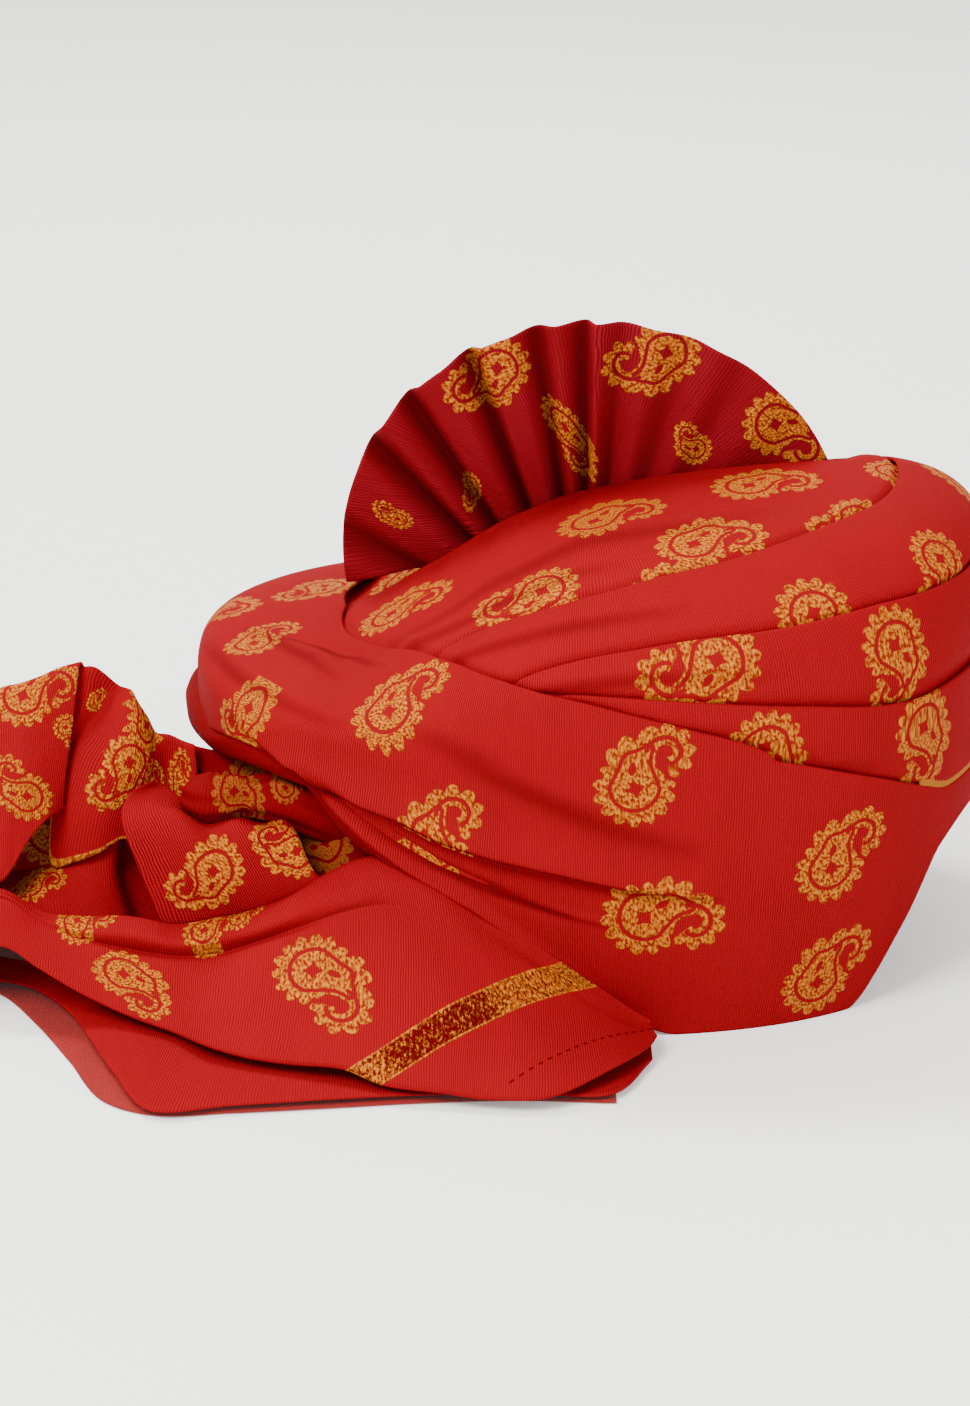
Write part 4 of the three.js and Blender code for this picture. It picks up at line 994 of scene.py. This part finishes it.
TAIL_BACK_FOLD = [
    # top, then four places down the face: the loop's turned side first, then the fold beside it
    [(-192, -42, 120), (-195, -46, 104), (-201, -48, 88), (-204, -49, 80), (-205, -50, 74)],
    [(-187, -41, 120), (-190, -46, 107), (-197, -49, 93), (-201, -51, 83), (-204, -52, 75)],
    [(-178, -37, 111), (-185, -43, 103), (-193, -49, 95), (-199, -53, 83), (-203, -55, 72)],
    [(-175, -37, 110), (-182, -48, 101), (-190, -54, 92), (-197, -58, 73), (-203, -60, 47)],
    [(-173, -40, 110), (-178, -52, 98), (-184, -59, 86), (-190, -62, 70), (-194, -63, 50)],
    [(-171, -42, 107), (-172, -54, 94), (-177, -60, 82), (-182, -63, 69), (-185, -64, 54)],
    [(-167, -42, 100), (-167, -53, 87), (-170, -58, 77), (-174, -61, 68), (-176, -62, 59)],
    [(-164, -42, 94), (-164, -50, 83), (-166, -55, 74), (-167, -58, 65), (-169, -60, 57)],
    [(-159, -42, 93), (-160, -47, 81), (-160, -53, 72), (-161, -56, 63), (-162, -58, 54)],
    [(-154, -43, 91), (-154, -47, 81), (-155, -51, 71), (-155, -54, 63), (-156, -56, 54)],
    [(-149, -45, 90), (-148, -50, 81), (-148, -53, 72), (-148, -55, 63), (-149, -57, 54)],
]
TAIL_FOLD_FOOT = [
    # top, face, foot and the edge behind the end panel
    [(-226, -50, 40), (-226, -56, 36), (-226, -62, 32), (-226, -66, 25)],
    [(-216, -52, 42), (-216, -58, 41), (-215, -68, 38), (-215, -72, 30)],
    [(-209, -56, 45), (-208, -62, 44), (-205, -72, 38), (-203, -76, 28)],
    [(-200, -57, 48), (-197, -64, 44), (-190, -74, 34), (-188, -78, 28)],
    [(-188, -58, 54), (-187, -64, 45), (-182, -74, 33), (-179, -79, 27)],
    [(-178, -57, 58), (-180, -62, 45), (-175, -72, 30), (-173, -78, 25)],
    [(-176, -50, 56), (-177, -53, 42), (-170, -62, 24), (-167, -70, 22)],
    [(-173, -48, 57), (-170, -50, 41), (-161, -58, 21), (-159, -66, 19)],
    [(-167, -48, 59), (-161, -50, 42), (-152, -56, 19), (-149, -64, 18)],
]
TAIL_MID_FOLD = [
    # back, behind the top, top, face and the edge behind the end panel
    [(-164, -60, 82), (-172, -73, 81), (-174, -82, 75), (-168, -88, 59), (-158, -91, 32)],
    [(-161, -58, 79), (-167, -71, 79), (-165, -83, 76), (-156, -92, 62), (-145, -92, 31)],
    [(-154, -60, 75), (-156, -71, 76), (-153, -84, 77), (-144, -95, 61), (-132, -93, 33)],
    [(-144, -64, 67), (-144, -74, 70), (-141, -85, 71), (-131, -96, 59), (-121, -95, 37)],
    [(-132, -66, 71), (-131, -77, 73), (-130, -87, 74), (-120, -97, 60), (-111, -97, 43)],
    [(-123, -68, 68), (-122, -79, 71), (-120, -89, 72), (-112, -97, 61), (-104, -99, 49)],
    [(-113, -72, 71), (-113, -82, 74), (-110, -90, 73), (-105, -97, 64), (-99, -101, 54)],
    [(-110, -74, 66), (-109, -83, 68), (-107, -91, 68), (-103, -97, 60), (-95, -102, 56)],
]
TAIL_UNDER_RIM = [
    # top, middle and foot of the cloth that comes out under the rim
    [(-170, -36, 94), (-168, -44, 72), (-167, -52, 46)],
    [(-151, -38, 88), (-150, -48, 69), (-150, -56, 47)],
    [(-135, -46, 87), (-133, -56, 70), (-130, -66, 49)],
    [(-115, -60, 84), (-111, -70, 67), (-106, -82, 46)],
    [(-100, -74, 79), (-96, -84, 65), (-90, -93, 48)],
    [(-85, -88, 73), (-80, -94, 59), (-73, -100, 42)],
    [(-67, -99, 66), (-60, -103, 49), (-52, -106, 33)],
]


def draped(sections, along, across):
    """A smooth grid (along, across) through sections of points."""
    lines = sway(np.array(sections, float).transpose(1, 0, 2), across)
    return sway(lines.transpose(1, 0, 2), along)


def front_buttis(grid, rows, side=-1):
    """Paisleys at rows of (x, height, tip, size, width) on a grid's near side, or on its far side
    where side is 1. The tip's direction counts from the right to up, as seen from the front."""
    x, z, tip, size, width = np.array(rows, float).T
    points = grid[1:-1, 1:-1].reshape(-1, 3)
    out = unit(np.cross(np.gradient(grid, axis=0), np.gradient(grid, axis=1)))
    out = out[1:-1, 1:-1].reshape(-1, 3)
    out = out * np.where(out[:, 1:2] > 0, -1, 1)
    away = np.hypot(points[None, :, 0] - x[:, None], points[None, :, 2] - z[:, None])
    pick = np.argmin(away - side * 0.05 * points[None, :, 1], 1)
    right = np.array([1.0, 0, 0]) - out[pick] * out[pick, :1]
    return butti_frames(points[pick], right, np.cross(out[pick], unit(right)), tip, size, width)


def gold_edged(points):
    """The weave with a line of gold along the last edge of a grid of points."""
    end = cloth_lengths(points, False)[1][-1] / 1000
    return woven_cloth("edge_weave", border=(end - GOLD_EDGE, end + 0.001))


def joined(name, pieces):
    """One piece made of several folds of the same cloth."""
    bpy.ops.object.select_all(action="DESELECT")
    for piece in pieces:
        piece.select_set(True)
    bpy.context.view_layer.objects.active = pieces[0]
    bpy.ops.object.join()
    pieces[0].name = name
    return pieces[0]


GOLD_EDGE = 0.0018
TAIL_THICK = 1.2
LOOP_BUTTIS = [
    # x, height, the tip's direction, size and width, in this and the lists that follow
    (-207.6, 114.5, 15, 0.85, 1), (-213.5, 81.6, 125, 0.72, 0.85), (-195.5, 99.7, -60, 0.35, 1),
    (-250, 60, 60, 1, 1), (-240, 96, 200, 1, 1),
]
LOOP_FAR_BUTTIS = [(-262, 62, 60, 1, 1), (-226, 88, 200, 1, 1), (-205, 45, 60, 1, 1),
                   (-243, 28, 200, 1, 1)]
FOLD_BUTTIS = [(-175.4, 84.5, 225, 0.80, 0.9), (-164.5, 103, 110, 0.75, 0.7),
               (-163.2, 75.8, 85, 0.55, 0.6), (-153.9, 77.6, 70, 0.6, 0.5), (-186, 108, 40, 0.25, 1)]
FOOT_BUTTIS = [(-207.4, 42.5, 20, 0.5, 1), (-214, 40, 200, 0.4, 1)]
MID_BUTTIS = [(-143.0, 57.0, 218, 0.80, 1), (-112, 69, 150, 0.7, 1)]
UNDER_BUTTIS = [(-101.5, 66.5, 155, 0.85, 1), (-131, 78, 200, 0.8, 1)]
# The back fold goes on over its top and down behind.
OVER_THE_TOP = [[(x, y + 9, z - 24), (x, y, z), *rest] for (x, y, z), *rest in TAIL_BACK_FOLD]
ribbed_weave = woven_cloth("ribbed_weave", ribbing=0.8)
TAIL_UPPER = {
    # the flat size, then each fold's points, grid, paisleys and weave, None being gold-edged
    "tail_loop": ((0.115, 0.155), [(TAIL_LOOP, (104, 104), LOOP_BUTTIS, red_weave)]),
    "tail_back_fold": ((0.080, 0.105), [(OVER_THE_TOP, (116, 96), FOLD_BUTTIS, None),
                                        (TAIL_FOLD_FOOT, (80, 40), FOOT_BUTTIS, red_weave)]),
    "tail_mid_fold": ((0.125, 0.085), [(TAIL_MID_FOLD, (100, 80), MID_BUTTIS, ribbed_weave),
                                       # The cloth under the rim is the darker red of the painted
                                       # shade.
                                       (TAIL_UNDER_RIM, (84, 34), UNDER_BUTTIS, painted_shade_weave)]),
}
for tail_name, (flat, parts) in TAIL_UPPER.items():
    folds = []
    for sections, size, motifs, weave in parts:
        tail_points = draped(sections, *size)
        buttis = front_buttis(tail_points, motifs)
        if tail_name == "tail_loop":
            far = front_buttis(tail_points, LOOP_FAR_BUTTIS, 1)
            buttis = tuple(np.concatenate(pair) for pair in zip(buttis, far))
        folds.append(laid_cloth(tail_name + "_cloth", tail_points, TAIL_THICK, buttis))
        folds[-1].data.materials.append(weave or gold_edged(tail_points))
    fold = joined(tail_name + "_cloth", folds)
    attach(fold, "root")
    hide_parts(tail_name)


# The tail's end: the last panel with its gold band and stitched hem, over two more layers.
# The same cloth, laid down: it comes over the folds in two rolls and runs out flat on the table
# beside the rim. Nothing fixes it but its own weight.
TAIL_END_PANEL = [
    # behind the top, top, roll, under the roll, face, middle and lower edge
    [(-286, -58, 26), (-286, -62, 28), (-286, -65, 25), (-286, -67, 21), (-286, -70, 19),
     (-286, -75, 13), (-286, -78, 7)],
    [(-250, -76, 41), (-250, -79, 41), (-250, -82, 38), (-250, -84, 35), (-250, -86, 33),
     (-250, -90, 27), (-250, -93, 20)],
    [(-220, -83, 47), (-220, -86, 47), (-220, -88, 47), (-220, -88, 46), (-219, -90, 45),
     (-219, -93, 38), (-219, -97, 30)],
    [(-204, -86, 39), (-204, -89, 38), (-204, -90, 38), (-204, -91, 37), (-204, -93, 36),
     (-204, -98, 31), (-205, -103, 24)],
    [(-190, -88, 38), (-190, -91, 38), (-190, -94, 35), (-192, -94, 33), (-192, -97, 32),
     (-191, -103, 25), (-189, -110, 17)],
    [(-172, -90, 39), (-171, -93, 38), (-171, -98, 35), (-171, -97, 29), (-171, -102, 28),
     (-171, -110, 20), (-171, -119, 12)],
    [(-154, -93, 37), (-153, -97, 36), (-153, -102, 33), (-153, -101, 28), (-153, -106, 27),
     (-153, -116, 18), (-154, -127, 9)],
    [(-140, -95, 40), (-139, -99, 40), (-139, -105, 36), (-139, -104, 30), (-139, -109, 29),
     (-140, -124, 21), (-141, -141, 10)],
    [(-126, -97, 44), (-125, -101, 44), (-123, -108, 41), (-121, -107, 37), (-121, -112, 36),
     (-122, -130, 23), (-126, -149, 9)],
    [(-111, -99, 51), (-111, -103, 51), (-108, -110, 48), (-106, -110, 44), (-106, -114, 42),
     (-106, -136, 26), (-109, -155, 9)],
    [(-95, -101, 62), (-94, -104, 62), (-92, -112, 57), (-90, -115, 52), (-90, -117, 49),
     (-89, -141, 28), (-90, -161, 10)],
    [(-82, -103, 68), (-81, -106, 68), (-78, -113, 63), (-76, -118, 56), (-75, -121, 53),
     (-75, -145, 28), (-75, -168, 7)],
    [(-61, -112, 68), (-60, -115, 64), (-59, -119, 60), (-58, -122, 55), (-57, -126, 50),
     (-55, -150, 28), (-55, -172, 6)],
    [(-42, -117, 55), (-42, -119, 52), (-41, -121, 49), (-40, -126, 45), (-39, -131, 41),
     (-38, -152, 23), (-39, -175, 5)],
    [(-23, -119, 42), (-22, -121, 39), (-21, -124, 36), (-19, -129, 33), (-18, -134, 29),
     (-17, -154, 18), (-17, -176, 6)],
    [(-2, -120, 27), (-1, -121, 25), (0, -124, 23), (1, -129, 20), (3, -133, 18), (5, -146, 13),
     (7, -158, 9)],
    [(16, -120, 14), (17, -121, 12), (17, -123, 11), (18, -126, 10), (18, -129, 10),
     (19, -133, 9), (21, -137, 8)],
    [(22, -120, 10), (22, -121, 9), (22, -122, 9), (23, -124, 9), (23, -125, 9), (23, -127, 9),
     (24, -129, 8)],
]
TAIL_MIDDLE_LAYER = [
    # front, middle and back
    [(-285, -52, 3), (-285, -46, 4), (-285, -38, 5)],
    [(-250, -62, 3.5), (-250, -55, 5), (-249, -47, 6)],
    [(-228, -69, 4), (-228, -62, 6), (-227, -54, 7)],
    [(-212, -76, 4), (-211, -68, 6), (-210, -60, 7)],
    [(-195, -98, 4), (-191, -80, 8), (-188, -62, 9)],
    [(-174, -149, 4), (-170, -106, 7), (-168, -66, 9)],
    [(-157, -181, 3.4), (-150, -122, 5), (-148, -70, 9)],
    [(-129, -177, 3.6), (-127, -128, 4.8), (-125, -76, 9)],
    [(-94, -172, 3.6), (-94, -132, 5), (-94, -88, 8)],
    [(-62, -168, 3.4), (-62, -134, 4.6), (-62, -100, 6.5)],
    [(-26, -166, 3.2), (-26, -143, 3.6), (-26, -122, 4.2)],
    [(6, -167, 3.1), (6, -152, 3.1), (6, -134, 3.1)],
    [(22, -138, 3.1), (22, -132, 3.1), (22, -126, 3.1)],
]
PANEL_BUTTIS = [
    (-97.5, 31.5, -62, 1.2, 0.8), (-169, 20.5, -62, 0.95, 0.62), (-187.5, 38.5, 10, 0.55, 1),
    (-139.5, 39.5, 15, 0.6, 1), (-128, 44, 20, 0.4, 1), (-235, 30, -30, 0.8, 1),
]
# Two ends of a line on the panel, then the way that the cloth faces there.
ZARI_LINE = ((-82, -165, 9), (-7, -122, 29), (0, -0.62, 0.78))
HEM_LINE = ((-31, -170, 7), (14, -133, 10.5), (0, -0.5, 0.86))
TAIL_LOWER_LAYER = [
    # front and back, flat on the table
    [(-285, -58, 0.75), (-285, -32, 0.75)], [(-240, -63, 0.75), (-240, -24, 0.75)],
    [(-223, -75, 0.75), (-223, -22, 0.75)], [(-207, -101, 0.75), (-207, -22, 0.75)],
    [(-191, -134, 0.75), (-191, -22, 0.75)], [(-175, -168, 0.75), (-175, -24, 0.75)],
    [(-156, -179, 0.75), (-156, -30, 0.75)], [(-129, -177, 0.75), (-129, -40, 0.75)],
    [(-94, -173, 0.75), (-94, -56, 0.75)], [(-62, -169, 0.75), (-62, -76, 0.75)],
    [(-26, -167, 0.75), (-26, -104, 0.75)], [(8, -169, 0.75), (8, -130, 0.75)],
]
SHEER = 0.72


def roll_shade(points):
    """The painted shade in the valley under the end panel's roll."""
    share = np.linspace(0, 1, points.shape[1])[None, :]
    beyond = ease(points[:, :1, 0], -210, -180) * (1 - ease(points[:, :1, 0], -95, -70))
    return np.exp(-((share - 0.5) / np.where(share < 0.5, 0.055, 0.012)) ** 2) * 0.6 * beyond


panel_weave = woven_cloth("panel_weave", zari=ZARI_LINE, hem=HEM_LINE)
sheer_weave = woven_cloth("sheer_weave", red=(0.30, 0.010, 0.009, 1), deep=(0.26, 0.008, 0.008, 1))
sheer_weave.node_tree.nodes["Principled BSDF"].inputs["Alpha"].default_value = SHEER
TAIL_FLAT = {
    # the layer's points, grid, flat size and weave
    "tail_end_panel": (TAIL_END_PANEL, (260, 100), (0.33, 0.062), panel_weave),
    "tail_middle_layer": (TAIL_MIDDLE_LAYER, (150, 44), (0.31, 0.055), red_weave),
    "tail_lower_layer": (TAIL_LOWER_LAYER, (140, 26), (0.29, 0.089), sheer_weave),
}
for tail_name, (sections, size, flat, weave) in TAIL_FLAT.items():
    tail_points = draped(sections, *size)
    on_top = tail_name == "tail_end_panel"
    layer = laid_cloth(tail_name + "_cloth", tail_points, TAIL_THICK,
                       front_buttis(tail_points, PANEL_BUTTIS) if on_top else None,
                       roll_shade(tail_points) if on_top else None)
    layer.data.materials.append(weave)
    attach(layer, "root")
    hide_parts(tail_name)
